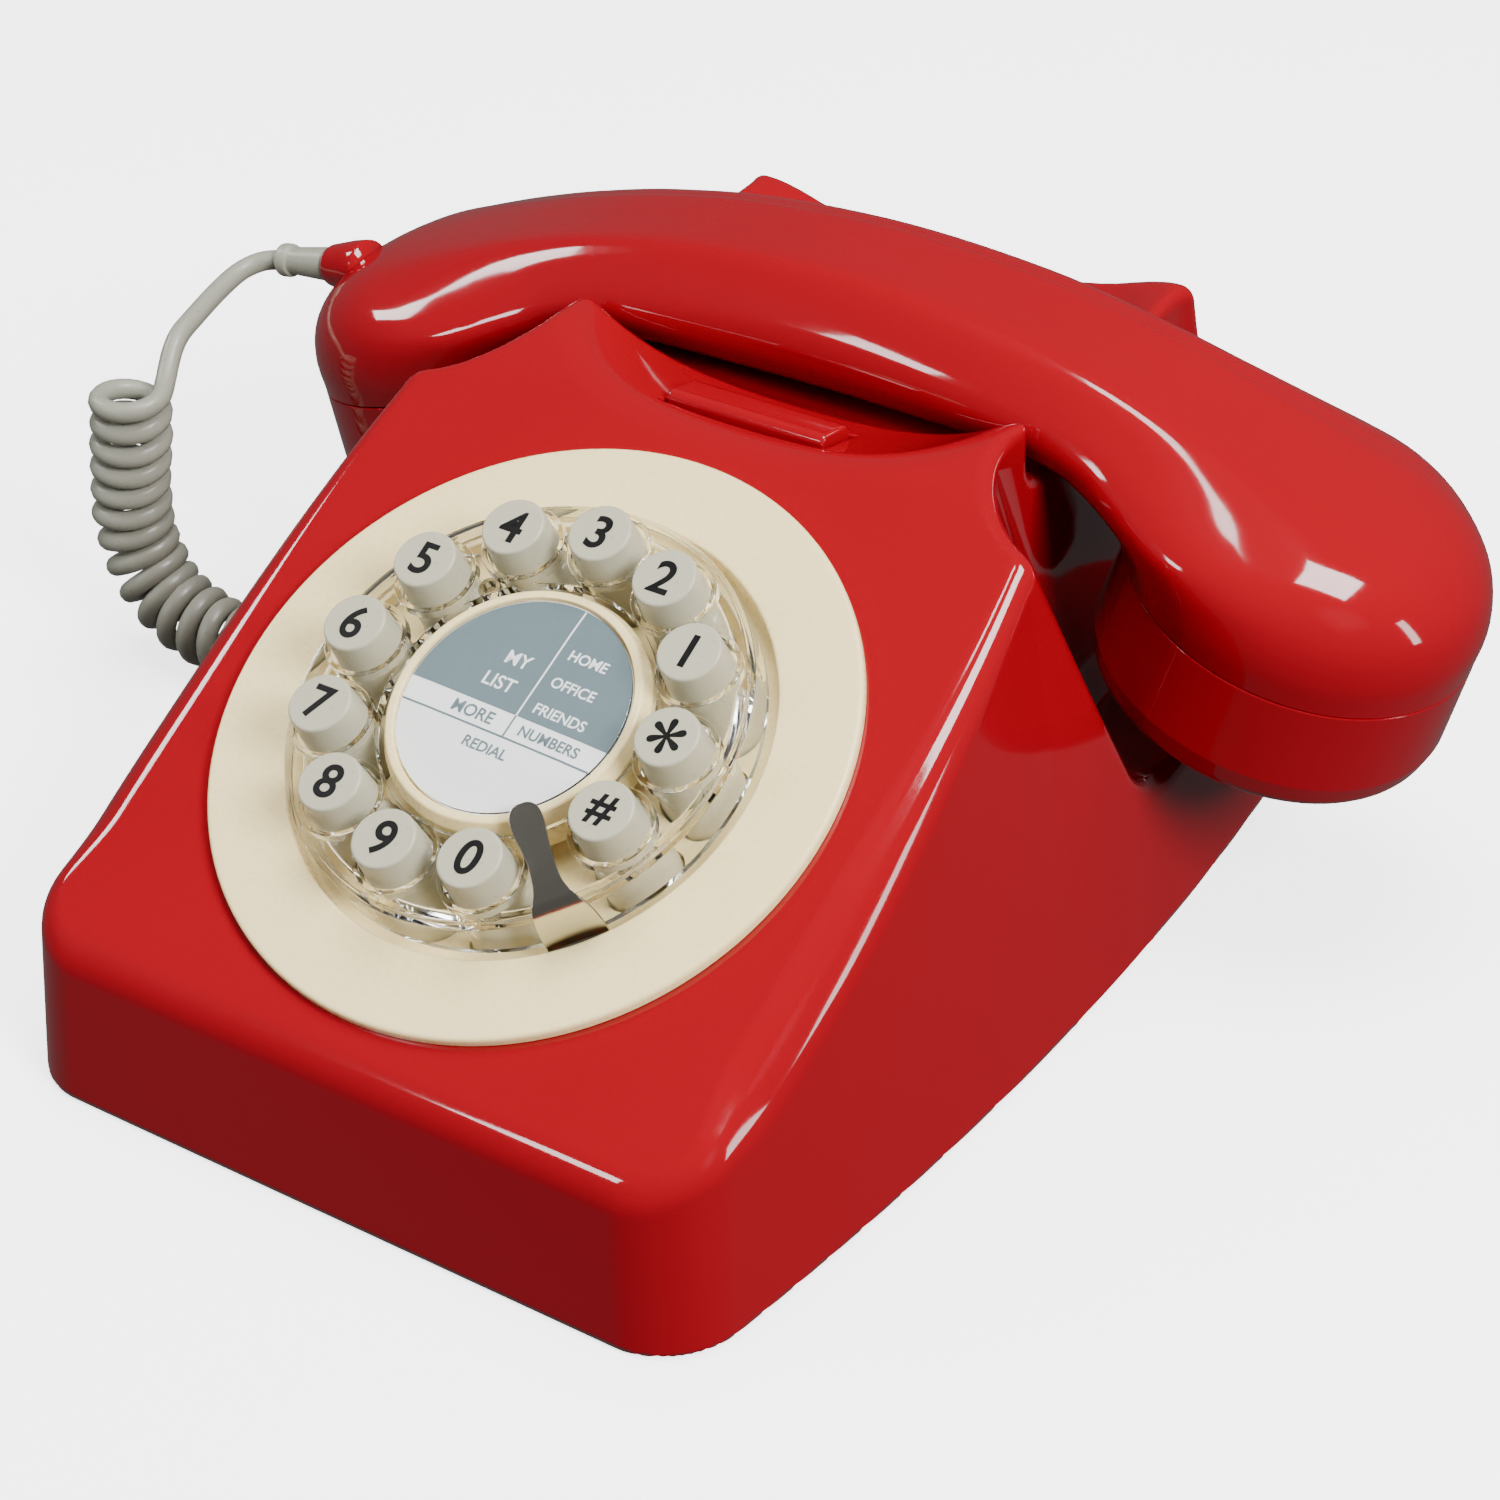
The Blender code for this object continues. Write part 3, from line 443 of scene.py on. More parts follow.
grid_step = 1.0
case_skin = skin_of("case_skin", red_shell, (-77, -3, -2), (77, 208, 93), grid_step, red_abs)
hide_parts("case")
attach(case_skin, "base")

# ------------------------------------------------------------------ handset shell
# One hollow red moulding: an arched handle with a flat top and a crisp rear edge, which swells into a dome
# over each cup. It ends at a seam above each cup, where the cap screws on.
CUP_X = 85.0
CUP_Z = 59.0
CUP_RADIUS = 30.4
CUP_TILT = math.radians(16.6)
HANDSET_Y = HANDSET_FROM_FRONT - DEPTH_MID
# The shell's under and upper outline over one cup as (x, z), from the seam to the handle.
INNER_LINE = [
    (55.3, 69.3), (54.6, 70.8), (53.6, 72.3), (52.2, 73.7), (50.2, 75.0), (47.2, 76.0), (42.5, 76.7), (34, 77),
]
OUTER_LINE = [
    (115.8, 57.0), (114.8, 63.8), (110.5, 70.2), (103.5, 75.3), (94.0, 79.3), (82, 83.7), (68, 88.5), (50, 93.5),
]
HALF_WIDTHS = [30.9, 30.9, 30.4, 29.2, 27.0, 24.0, 21.0, 19.4]
HANDLE_SHARE = [0.0, 0.05, 0.12, 0.25, 0.45, 0.7, 0.9, 1.0]
# The handle's section in shares of its half width and half height, from below up to its top: the side that
# faces the user rolls over softly, and the far side ends in a crisp edge.
NEAR_SIDE = [
    (0, -1), (0.36, -0.985), (0.62, -0.89), (0.83, -0.68), (0.96, -0.38), (1.0, -0.08), (0.95, 0.22), (0.84, 0.5),
    (0.7, 0.77), (0.57, 0.945), (0.46, 1.0), (0.24, 1.005), (0, 1.0),
]
FAR_SIDE = [
    (0, -1), (0.36, -0.985), (0.62, -0.89), (0.83, -0.68), (0.96, -0.38), (1.0, -0.06), (0.985, 0.28), (0.935, 0.58),
    (0.85, 0.8), (0.72, 0.935), (0.53, 0.985), (0.47, 1.002), (0.26, 1.005), (0, 1.0),
]


def stations(steps):
    """(inner x, inner z, outer x, outer z, half width, handle share) from the seam to the handle's middle."""
    across = np.array([math.cos(CUP_TILT), -math.sin(CUP_TILT)]) * CUP_RADIUS
    centre = np.array([CUP_X, CUP_Z])
    rows = [(*(centre - across), *(centre + across), CUP_RADIUS, 0.0)]
    rows += [(*i, *o, w, s) for i, o, w, s in zip(INNER_LINE, OUTER_LINE, HALF_WIDTHS, HANDLE_SHARE)]
    rows += [(20, 77.0, 28, 97.5, 19.2, 1.0), (0, 77.0, 0, 99.3, 19.0, 1.0), (-20, 77.0, -28, 97.5, 19.2, 1.0)]
    knots = np.array(rows)
    return smooth_line(np.vstack([2 * knots[0] - knots[1], knots]), steps)


def section(side, fine):
    """A smooth half section, with the angle that each of its points has on a circle."""
    curve = [(p.x, p.y) for p in through([(*p, 0) for p in side], fine)]
    angles = [math.pi * i / (len(curve) - 1) for i in range(len(curve))]
    return list(zip(curve, angles))


def handset_loop(row, mirror, inset):
    """The shell's outline at one station: a circle at the seam, which turns into the handle's section."""
    inner = np.array(row[0:2])
    outer = np.array(row[2:4])
    middle = (inner + outer) / 2
    height = np.linalg.norm(outer - inner) / 2
    up = (outer - inner) / (2 * height)
    share = min(max(row[5], 0), 1)
    loop = []
    for side, sign in ((NEAR_SIDE, -1), (FAR_SIDE, 1)):
        half = section(side, 4)
        if sign == 1:
            half = half[::-1][1:-1]
        for (across, rise), angle in half:
            u = share * across + (1 - share) * math.sin(angle)
            v = share * rise - (1 - share) * math.cos(angle)
            place = middle + up * v * (height - inset)
            loop.append((mirror * place[0], HANDSET_Y + sign * u * (row[4] - inset), place[1]))
    return loop


SEAM_STEP = 0.35
SHELL_WALL = 2.2


def handset_loops():
    """The outlines from one seam to the other on the outside, and back again on the inside."""
    half = stations(6)
    lip = list(half[0])
    lip[4] = CUP_RADIUS - SEAM_STEP
    shrink = (CUP_RADIUS - SEAM_STEP) / CUP_RADIUS
    centre = (np.array(half[0][0:2]) + np.array(half[0][2:4])) / 2
    lip[0:2] = centre + (np.array(half[0][0:2]) - centre) * shrink
    lip[2:4] = centre + (np.array(half[0][2:4]) - centre) * shrink
    rows = [(r, 1) for r in [lip, *half]] + [(r, -1) for r in [lip, *half][::-1][1:]]
    outer = [handset_loop(r, m, 0.0) for r, m in rows]
    inner = [handset_loop(r, m, SHELL_WALL) for r, m in rows]
    return outer + inner[::-1]


loops = handset_loops()
count = len(loops[0])
faces = []
for i in range(len(loops)):
    n = (i + 1) % len(loops)
    for j in range(count):
        k = (j + 1) % count
        faces.append([i * count + j, i * count + k, n * count + k, n * count + j])
handset_skin = mesh_object("handset_skin", [p for loop in loops for p in loop], faces, red_abs)
handset_skin.data.set_sharp_from_angle(angle=math.radians(40))
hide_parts("handset_shell")
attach(handset_skin, "handset")

# The boss that holds the sleeve is a short red nose, moulded onto the left cup.
boss_line = [(-106.0 - 0.95 * i, 48.5, 70.8 - 0.165 * i) for i in range(11)]
boss_radius = [5.4, 5.4, 5.3, 5.2, 5.0, 4.8, 4.6, 4.4, 4.2, 4.0, 3.5]
cord_boss = round_tube("cord_boss", boss_line, boss_radius, 28, red_abs)
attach(cord_boss, "handset")

# ------------------------------------------------------------------ handset caps
# A red cap screws onto each cup under the seam: nearly straight sides, a rounded rim, and a dished face
# with a ring of sound holes.


def rounded(corners, closed, bend=5):
    """A profile of (radius, height, fillet) corners, with an arc at each corner that has a fillet."""
    outline = []
    total = len(corners)
    for i, (r, z, fillet) in enumerate(corners):
        here = Vector((r, z))
        if fillet == 0 or (not closed and i in (0, total - 1)):
            outline.append((r, z))
            continue
        before = Vector(corners[i - 1][:2]) - here
        after = Vector(corners[(i + 1) % total][:2]) - here
        half = before.angle(after) / 2
        reach = min(fillet / math.tan(half), before.length * 0.49, after.length * 0.49)
        start = here + before.normalized() * reach
        end = here + after.normalized() * reach
        for j in range(bend + 1):
            t = j / bend
            p = start * (1 - t) ** 2 + here * 2 * t * (1 - t) + end * t**2
            outline.append((p.x, p.y))
    return outline


def turned(name, corners, steps, material, closed=False, centre=(0, 0), bend=5):
    """A turned piece. An open profile runs from the axis to the axis, and a closed one makes a ring."""
    outline = rounded(corners, closed, bend)
    points = []
    rings = []
    for r, z in outline:
        if r < 1e-6:
            rings.append([len(points)])
            points.append((centre[0], centre[1], z))
            continue
        rings.append([len(points) + i for i in range(steps)])
        points += [
            (centre[0] + r * math.cos(math.tau * i / steps), centre[1] + r * math.sin(math.tau * i / steps), z)
            for i in range(steps)
        ]
    pairs = list(zip(rings, rings[1:])) + ([(rings[-1], rings[0])] if closed else [])
    faces = []
    for low, high in pairs:
        for i in range(steps):
            k = (i + 1) % steps
            face = list(
                dict.fromkeys([low[i % len(low)], low[k % len(low)], high[k % len(high)], high[i % len(high)]])
            )
            if len(face) > 2:
                faces.append(face)
    obj = mesh_object(name, points, faces, material)
    obj.data.set_sharp_from_angle(angle=math.radians(40))
    return obj


def evaluated(obj, *helpers):
    """The object with its modifiers applied, and the helpers that they used removed."""
    bpy.context.view_layer.update()
    mesh = bpy.data.meshes.new_from_object(obj.evaluated_get(bpy.context.evaluated_depsgraph_get()))
    obj.modifiers.clear()
    obj.data = mesh
    for helper in helpers:
        bpy.data.objects.remove(helper)
    return obj


def boolean(obj, helper, operation="DIFFERENCE"):
    """Cuts the helper out of the object, or adds it to the object, and removes the helper."""
    modifier = obj.modifiers.new("boolean", "BOOLEAN")
    modifier.operation = operation
    modifier.solver = "EXACT"
    modifier.object = helper
    return evaluated(obj, helper)


def joined(name, parts):
    """One object from several, with their meshes side by side."""
    work = bmesh.new()
    for part in parts:
        work.from_mesh(part.data)
    mesh = bpy.data.meshes.new(name)
    work.to_mesh(mesh)
    work.free()
    for part in parts:
        bpy.data.objects.remove(part)
    obj = bpy.data.objects.new(name, mesh)
    bpy.context.scene.collection.objects.link(obj)
    return obj


def even_shading(obj, angle=40):
    """Shades by the size of the faces, so flat faces beside a round edge stay flat."""
    obj.data.shade_smooth()
    obj.data.set_sharp_from_angle(angle=math.radians(angle))
    modifier = obj.modifiers.new("even_shading", "WEIGHTED_NORMAL")
    modifier.keep_sharp = True
    modifier.weight = 60
    return evaluated(obj)


CAP_PROFILE = [
    (28.3, -0.3, 0.2), (30.45, -0.3, 0.35), (31.0, -16.0, 2), (30.0, -20.6, 4), (26.4, -22.3, 2), (23.6, -22.3, 1),
    (8.0, -21.5, 3), (0, -21.3, 0), (0, -19.0, 0), (8.0, -19.2, 2), (23.5, -20.0, 1), (27.0, -19.0, 2),
    (28.6, -16.5, 1),
]
SOUND_DRILL = [(0, -26, 0), (1.3, -26, 0), (1.3, -17, 0), (0, -17, 0)]
SOUND_RING = 9


def cup_matrix(side):
    """The cup's own frame: its origin is in the middle of the seam, and Z points up through the handset."""
    centre = Vector((side * CUP_X, HANDSET_Y, CUP_Z))
    return Matrix.Translation(centre * MM) @ Matrix.Rotation(side * CUP_TILT, 4, "Y")


for node, side, holes in (("ear_cap", 1, 7), ("mouth_cap", -1, 6)):
    cap = turned(f"{node}_skin", CAP_PROFILE, 96, red_abs, closed=True)
    turns = [math.tau * i / holes for i in range(holes)]
    ring = [(SOUND_RING * math.cos(turn), SOUND_RING * math.sin(turn)) for turn in turns]
    drills = [turned("drill", SOUND_DRILL, 16, red_abs, centre=place) for place in ring]
    boolean(cap, joined("drills", drills))
    even_shading(cap)
    cap.matrix_world = cup_matrix(side)
    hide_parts(node)
    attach(cap, "handset")

# ------------------------------------------------------------------ hook bar
# The red plunger that the handset holds down: a plain bar across the dish between the horns,
# a little higher at its front edge, with softened corners.
HOOK_HALF_WIDTH = 15.5
HOOK_SECTION = [(-4.3, 71.4), (-4.3, 84.5), (-3.2, 85.4), (3.4, 84.2), (4.3, 83.2), (4.3, 71.4)]


def prism_faces(n):
    """The faces between two outlines of n points each, and the two ends."""
    return [list(range(n)), list(range(n, 2 * n))] + [[i, (i + 1) % n, n + (i + 1) % n, n + i] for i in range(n)]


def soften_edges(obj, width, segments):
    """Rounds the sharp edges of an object with this width in millimetres."""
    bevel = obj.modifiers.new("soft_edges", "BEVEL")
    bevel.width = width * MM
    bevel.segments = segments
    bevel.limit_method = "ANGLE"
    return even_shading(evaluated(obj))


points = [
    (x, HOOK_FROM_FRONT - DEPTH_MID + y, z) for x in (-HOOK_HALF_WIDTH, HOOK_HALF_WIDTH) for y, z in HOOK_SECTION
]
hook_skin = mesh_object("hook_bar_skin", points, prism_faces(len(HOOK_SECTION)), red_abs)
soften_edges(hook_skin, 0.7, 4)
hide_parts("hook_bar")
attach(hook_skin, "hook")

# ------------------------------------------------------------------ faceplate
# A cream ABS ring lies on the sloping face. Its middle drops into a shallow well, whose floor has a hole
# for each button and whose wall has a slot for the finger stop.
dial_centre = Vector((0, DIAL_FROM_FRONT - DEPTH_MID, DIAL_Z))
dial_matrix = Matrix.Translation(dial_centre * MM) @ Matrix.Rotation(FACE_TILT, 4, "X")
WELL_FLOOR = -3.0
BUTTON_PITCH = math.radians(29.0)
FIRST_BUTTON = math.radians(-26.35)
STOP_TURN = FIRST_BUTTON - (math.tau - 11 * BUTTON_PITCH) / 2 + math.radians(90)

# Cream ABS: a warm ivory with a softer gloss than the red, slightly uneven in tone with age.
cream_abs = moulded_plastic(
    "cream_abs", "#F4DFA6", "#F0DA9E", 0.28, ripple_mm=12.0, ripple=0.015, grain=0.02,
    **{"Subsurface Weight": 0.12, "Subsurface Scale": 0.002}
)


def button_place(index, radius=30.0):
    """Where a button stands round the dial, counted from hash. A half number is between two buttons."""
    angle = FIRST_BUTTON + index * BUTTON_PITCH
    return radius * math.cos(angle), radius * math.sin(angle)


PLATE_PROFILE = [
    (5.2, WELL_FLOOR, 0.2), (40.2, WELL_FLOOR, 0.9), (40.4, 2.0, 0.7), (54.0, 2.0, 1.1), (54.0, 0.15, 0.1),
    (42.8, 0.15, 0.1), (42.6, WELL_FLOOR - 1.6, 0.2), (5.2, WELL_FLOOR - 1.6, 0.2),
]
FLOOR_DRILL = [(0, -8, 0), (6.4, -8, 0), (6.4, 0, 0), (0, 0, 0)]


def one_at_each_button(profile, steps, material):
    """The same turned shape at the place of every button, as one object."""
    return joined("at_buttons", [turned("one", profile, steps, material, centre=button_place(i)) for i in range(12)])


def block(xs, ys, zs, material):
    """A box that cuts a slot, from its two ends along each axis."""
    corners = [(x, y, z) for x in xs for y in ys for z in zs]
    sides = [[0, 1, 3, 2], [4, 6, 7, 5], [0, 4, 5, 1], [2, 3, 7, 6], [0, 2, 6, 4], [1, 5, 7, 3]]
    return mesh_object("block", corners, sides, material)


plate = turned("faceplate_skin", PLATE_PROFILE, 180, cream_abs, closed=True, bend=6)
boolean(plate, one_at_each_button(FLOOR_DRILL, 40, cream_abs))
slot_cutter = block((-5.6, 5.6), (-45.0, -38.6), (-0.1, 1.55), cream_abs)
slot_cutter.rotation_euler = (0, 0, STOP_TURN)
boolean(plate, slot_cutter)
even_shading(plate, 35)
plate.matrix_world = dial_matrix
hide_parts("dial_faceplate")
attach(plate, "base")

# ------------------------------------------------------------------ buttons
# Twelve round buttons in grey-green plastic stand through the wheel. Each carries its digit or sign
# printed in black on a flat top.
BUTTON_TOP = 14.8
BUTTON_NAMES = ["hash", "star", "1", "2", "3", "4", "5", "6", "7", "8", "9", "0"]
SIGNS = {"hash": "#", "star": "*"}

# Grey button plastic: satin, with a slightly greenish warm grey.
button_plastic = moulded_plastic("grey_button_plastic", "#ABA893", "#A5A28D", 0.32, ripple_mm=6.0, grain=0.03)
# Printing ink: flat black with a slight sheen.
black_ink = moulded_plastic("black_ink", "#020202", "#040404", 0.45, grain=0.02)

BUTTON_PROFILE = [
    (0, BUTTON_TOP, 0), (5.25, BUTTON_TOP, 0.55), (5.6, 9.0, 3), (5.95, WELL_FLOOR + 1, 1),
    (5.95, WELL_FLOOR - 1.9, 0.2), (7.0, WELL_FLOOR - 1.9, 0.2), (7.0, WELL_FLOOR - 3.2, 0.2), (0, WELL_FLOOR - 3.2, 0),
]


def printed(name, text, size, material, matrix, turn=0.0, weight=0.0, align="CENTER"):
    """Flat lettering, as a mesh a few hundredths of a millimetre thick."""
    curve = bpy.data.curves.new(name, "FONT")
    curve.body = text
    curve.size = size * MM
    curve.align_x = align
    curve.align_y = "CENTER"
    curve.offset = weight * MM
    curve.extrude = 0.02 * MM
    curve.resolution_u = 6
    text_object = bpy.data.objects.new(name + "_text", curve)
    bpy.context.scene.collection.objects.link(text_object)
    bpy.context.view_layer.update()
    mesh = bpy.data.meshes.new_from_object(text_object.evaluated_get(bpy.context.evaluated_depsgraph_get()))
    bpy.data.objects.remove(text_object)
    low = Vector([min(v.co[i] for v in mesh.vertices) for i in range(3)])
    high = Vector([max(v.co[i] for v in mesh.vertices) for i in range(3)])
    if align == "CENTER":
        mesh.transform(Matrix.Translation(-(low + high) / 2))
    mesh.materials.clear()
    mesh.materials.append(material)
    obj = bpy.data.objects.new(name, mesh)
    bpy.context.scene.collection.objects.link(obj)
    obj.matrix_world = matrix @ Matrix.Rotation(turn, 4, "Z")
    return obj


for index, name in enumerate(BUTTON_NAMES):
    x, y = button_place(index)
    at = dial_matrix @ Matrix.Translation(Vector((x, y, 0)) * MM)
    button = even_shading(turned(f"button_{name}_skin", BUTTON_PROFILE, 48, button_plastic))
    button.matrix_world = at
    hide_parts(f"button_{name}")
    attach(button, f"key_{name}")
    top = at @ Matrix.Translation((0, 0, (BUTTON_TOP + 0.03) * MM))
    size = {"star": 13.5, "hash": 7.2}.get(name, 8.2)
    digit = printed(f"digit_{name}", SIGNS.get(name, name), size, black_ink, top, weight=0.16)
    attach(digit, f"key_{name}")

# ------------------------------------------------------------------ clear wheel
# The finger wheel is a clear acrylic moulding that stays still: a flat ring with a raised collar round each
# button, a skirt that hangs into the well, and three posts that carry it.
WHEEL_TOP = 8.4
# Clear acrylic: colourless and polished, with bright edges and a very slight warm cast.
clear_acrylic = new_material("clear_acrylic")
place = add_node(clear_acrylic, "ShaderNodeTexCoord", {}).outputs["Object"]
smear = add_node(clear_acrylic, "ShaderNodeTexNoise", {"Vector": place, "Scale": 300.0, "Detail": 2.0})
gloss = add_node(clear_acrylic, "ShaderNodeMapRange", {"Value": smear.outputs["Fac"], "To Min": 0.01, "To Max": 0.06})
surface(
    clear_acrylic,
    {"Base Color": colour("#FFFFFD"), "Transmission Weight": 1.0, "IOR": 1.49, "Roughness": gloss.outputs["Result"]},
)

WHEEL_PROFILE = [
    (23.0, WHEEL_TOP - 2.0, 0.2), (35.4, WHEEL_TOP - 2.0, 0.6), (36.8, 0.4, 0.2), (38.6, 0.4, 0.2),
    (38.5, WHEEL_TOP - 0.9, 0.2), (37.7, WHEEL_TOP - 0.75, 0.15), (37.5, WHEEL_TOP, 0.25), (23.0, WHEEL_TOP, 0.25),
]
COLLAR_PROFILE = [
    (0, WHEEL_TOP - 1.0, 0), (7.15, WHEEL_TOP - 1.0, 0.1), (7.0, WHEEL_TOP + 1.6, 0.3), (0, WHEEL_TOP + 1.6, 0),
]
COLLAR_DRILL = [(0, 0, 0), (6.3, 0, 0), (6.2, 9.4, 0.3), (6.45, 14, 0), (0, 14, 0)]
wheel = turned("finger_wheel_skin", WHEEL_PROFILE, 180, clear_acrylic, closed=True)
boolean(wheel, one_at_each_button(COLLAR_PROFILE, 48, clear_acrylic), "UNION")
boolean(wheel, one_at_each_button(COLLAR_DRILL, 48, clear_acrylic))
even_shading(wheel, 35)
wheel.matrix_world = dial_matrix
wheel.visible_shadow = wheel.visible_diffuse = False
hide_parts("finger_wheel")
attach(wheel, "base")

POST_PROFILE = [
    (0, WELL_FLOOR + 0.3, 0), (2.1, WELL_FLOOR + 0.3, 0.1), (1.9, WHEEL_TOP - 2.3, 0.2), (1.2, WHEEL_TOP - 2.3, 0.1),
    (0.9, WHEEL_TOP - 3.6, 0.2), (0, WHEEL_TOP - 3.8, 0),
]
POST_RING = 25.4
for i, gap in enumerate((2.5, 5.5, 9.5)):
    post = turned(f"wheel_post_{i + 1}_skin", POST_PROFILE, 32, clear_acrylic, centre=button_place(gap, POST_RING))
    post.matrix_world = dial_matrix
    post.visible_shadow = post.visible_diffuse = False
    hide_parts(f"wheel_post_{i + 1}")
    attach(post, "base")

# ------------------------------------------------------------------ finger stop
# A strip of bright sheet steel, bent up out of its slot in the well's wall, over the wheel's rim and in
# towards the hub. It narrows to a waist and ends in a rounded tip.
# Bright steel: rolled sheet, with fine brushed lines along it and soft mirror reflections.
bright_steel = new_material("bright_steel")
place = add_node(bright_steel, "ShaderNodeTexCoord", {}).outputs["Object"]
stretch = add_node(bright_steel, "ShaderNodeMapping", {"Vector": place, "Scale": (6000.0, 200.0, 6000.0)})
brushing = {"Vector": stretch.outputs["Vector"], "Scale": 1.0, "Detail": 4.0}
lines = add_node(bright_steel, "ShaderNodeTexNoise", brushing)
gloss = add_node(bright_steel, "ShaderNodeMapRange", {"Value": lines.outputs["Fac"], "To Min": 0.12, "To Max": 0.3})
scratches = {"Strength": 0.04, "Distance": 0.0002, "Height": lines.outputs["Fac"]}
bump = add_node(bright_steel, "ShaderNodeBump", scratches)
steel_look = {"Base Color": colour("#C9C4B8"), "Metallic": 1.0}
surface(bright_steel, {**steel_look, "Roughness": gloss.outputs["Result"], "Normal": bump.outputs["Normal"]})

# The strip's middle line as (distance from the hub's axis, height, half width, drift to one side).
STOP_PATH = [
    (42.0, 0.7, 4.9, 0), (40.4, 0.7, 4.9, 0), (39.5, 0.9, 4.9, 0), (39.25, 2.0, 4.9, 0), (39.25, 5.0, 4.75, 0),
    (39.2, 8.0, 4.45, 0), (39.0, 10.2, 4.0, -0.1), (38.2, 11.3, 3.4, -0.2), (36.6, 11.7, 2.6, -0.3),
    (34.4, 11.75, 2.15, -0.5), (31.0, 11.68, 2.05, -0.7), (27.5, 11.55, 2.3, -1.1), (24.0, 11.42, 2.65, -1.4),
    (21.6, 11.32, 2.45, -1.6), (20.3, 11.27, 1.7, -1.7), (19.75, 11.25, 0.7, -1.72),
]
SHEET_HALF = 0.36
path = through([(r, w, width) for r, w, width, _ in STOP_PATH], 4)
drift = through([(aside, 0, 0) for *_, aside in STOP_PATH], 4)
points = []
for i, (p, d) in enumerate(zip(path, drift)):
    ahead = path[min(i + 1, len(path) - 1)]
    behind = path[max(i - 1, 0)]
    along = Vector((ahead.x - behind.x, ahead.y - behind.y)).normalized()
    for side in (SHEET_HALF, -SHEET_HALF):
        r = p.x - along.y * side
        w = p.y + along.x * side
        points += [(d.x - p.z, -r, w), (d.x + p.z, -r, w)]
faces = []
for i in range(len(path) - 1):
    a = 4 * i
    b = a + 4
    faces += [[a, a + 1, b + 1, b], [a + 2, b + 2, b + 3, a + 3], [a, b, b + 2, a + 2], [a + 1, a + 3, b + 3, b + 1]]
end = 4 * (len(path) - 1)
faces += [[0, 2, 3, 1], [end, end + 1, end + 3, end + 2]]
stop = mesh_object("finger_stop_skin", points, faces, bright_steel)
soften_edges(stop, 0.12, 2)
stop.matrix_world = dial_matrix @ Matrix.Rotation(STOP_TURN, 4, "Z")
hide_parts("finger_stop")
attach(stop, "base")

# ------------------------------------------------------------------ hub
# The hub is the redial button: a cream rim that holds a printed card under a clear window.
HUB_TOP = 9.4
HUB_PROFILE = [
    (0, HUB_TOP - 1.6, 0), (19.6, HUB_TOP - 1.6, 0.1), (19.7, HUB_TOP, 0.25), (21.0, HUB_TOP, 0.7),
    (22.0, HUB_TOP - 2.2, 0.8), (22.0, 0.6, 0.3), (19.6, 0.6, 0.2), (19.6, HUB_TOP - 3.4, 0.3),
    (4.6, HUB_TOP - 3.4, 0.3), (4.6, WELL_FLOOR - 1.9, 0.1), (5.8, WELL_FLOOR - 1.9, 0.2),
    (5.8, WELL_FLOOR - 3.0, 0.2), (0, WELL_FLOOR - 3.0, 0),
]
hub = even_shading(turned("redial_cap_skin", HUB_PROFILE, 128, cream_abs))
hub.matrix_world = dial_matrix
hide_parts("redial_cap")
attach(hub, "redial")

# Printed card: matt paper, blue-grey in its upper part and white below, with thin ruled lines.
card_white = moulded_plastic("label_card_white", "#E9ECEB", "#E2E6E6", 0.55, grain=0.06)
card_blue = moulded_plastic("label_card_blue", "#5A6B72", "#55666D", 0.55, grain=0.06)
CARD_TOP = HUB_TOP - 0.9
CARD_UNDER = HUB_TOP - 1.3
CARD_PROFILE = [(0, CARD_UNDER, 0), (19.3, CARD_UNDER, 0), (19.3, CARD_TOP, 0), (0, CARD_TOP, 0)]
card = turned("label_card_skin", CARD_PROFILE, 96, card_white)
card.matrix_world = dial_matrix
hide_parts("dial_label")
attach(card, "redial")
card_matrix = dial_matrix @ Matrix.Rotation(math.radians(-2), 4, "Z")


def card_print(name, outline, material, height):
    """A flat printed patch on the card."""
    points = [(x, y, CARD_TOP + height - d) for d in (0.03, 0) for x, y in outline]
    patch = mesh_object(name, points, prism_faces(len(outline)), material)
    patch.data.shade_flat()
    patch.matrix_world = card_matrix
    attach(patch, "redial")
    return patch


def disc_part(radius, low, high):
    """The part of a disc between two heights."""
    a = math.asin(low / radius)
    b = math.asin(min(high / radius, 1))
    right = [(radius * math.cos(a + (b - a) * i / 40), radius * math.sin(a + (b - a) * i / 40)) for i in range(41)]
    left = [(-x, y) for x, y in reversed(right)]
    return right + (left[1:] if high >= radius else left)


PRINT_RADIUS = 19.2
card_print("card_blue_part", disc_part(PRINT_RADIUS, -1.4, PRINT_RADIUS), card_blue, 0.04)
card_print("card_rule_low", disc_part(PRINT_RADIUS, -5.7, -5.35), card_blue, 0.04)
card_print("card_rule_tall", [(1.35, -1.4), (1.65, -1.4), (1.65, 19.0), (1.35, 19.0)], card_white, 0.07)
card_print("card_rule_short", [(1.35, -5.6), (1.65, -5.6), (1.65, -1.4), (1.35, -1.4)], card_blue, 0.05)
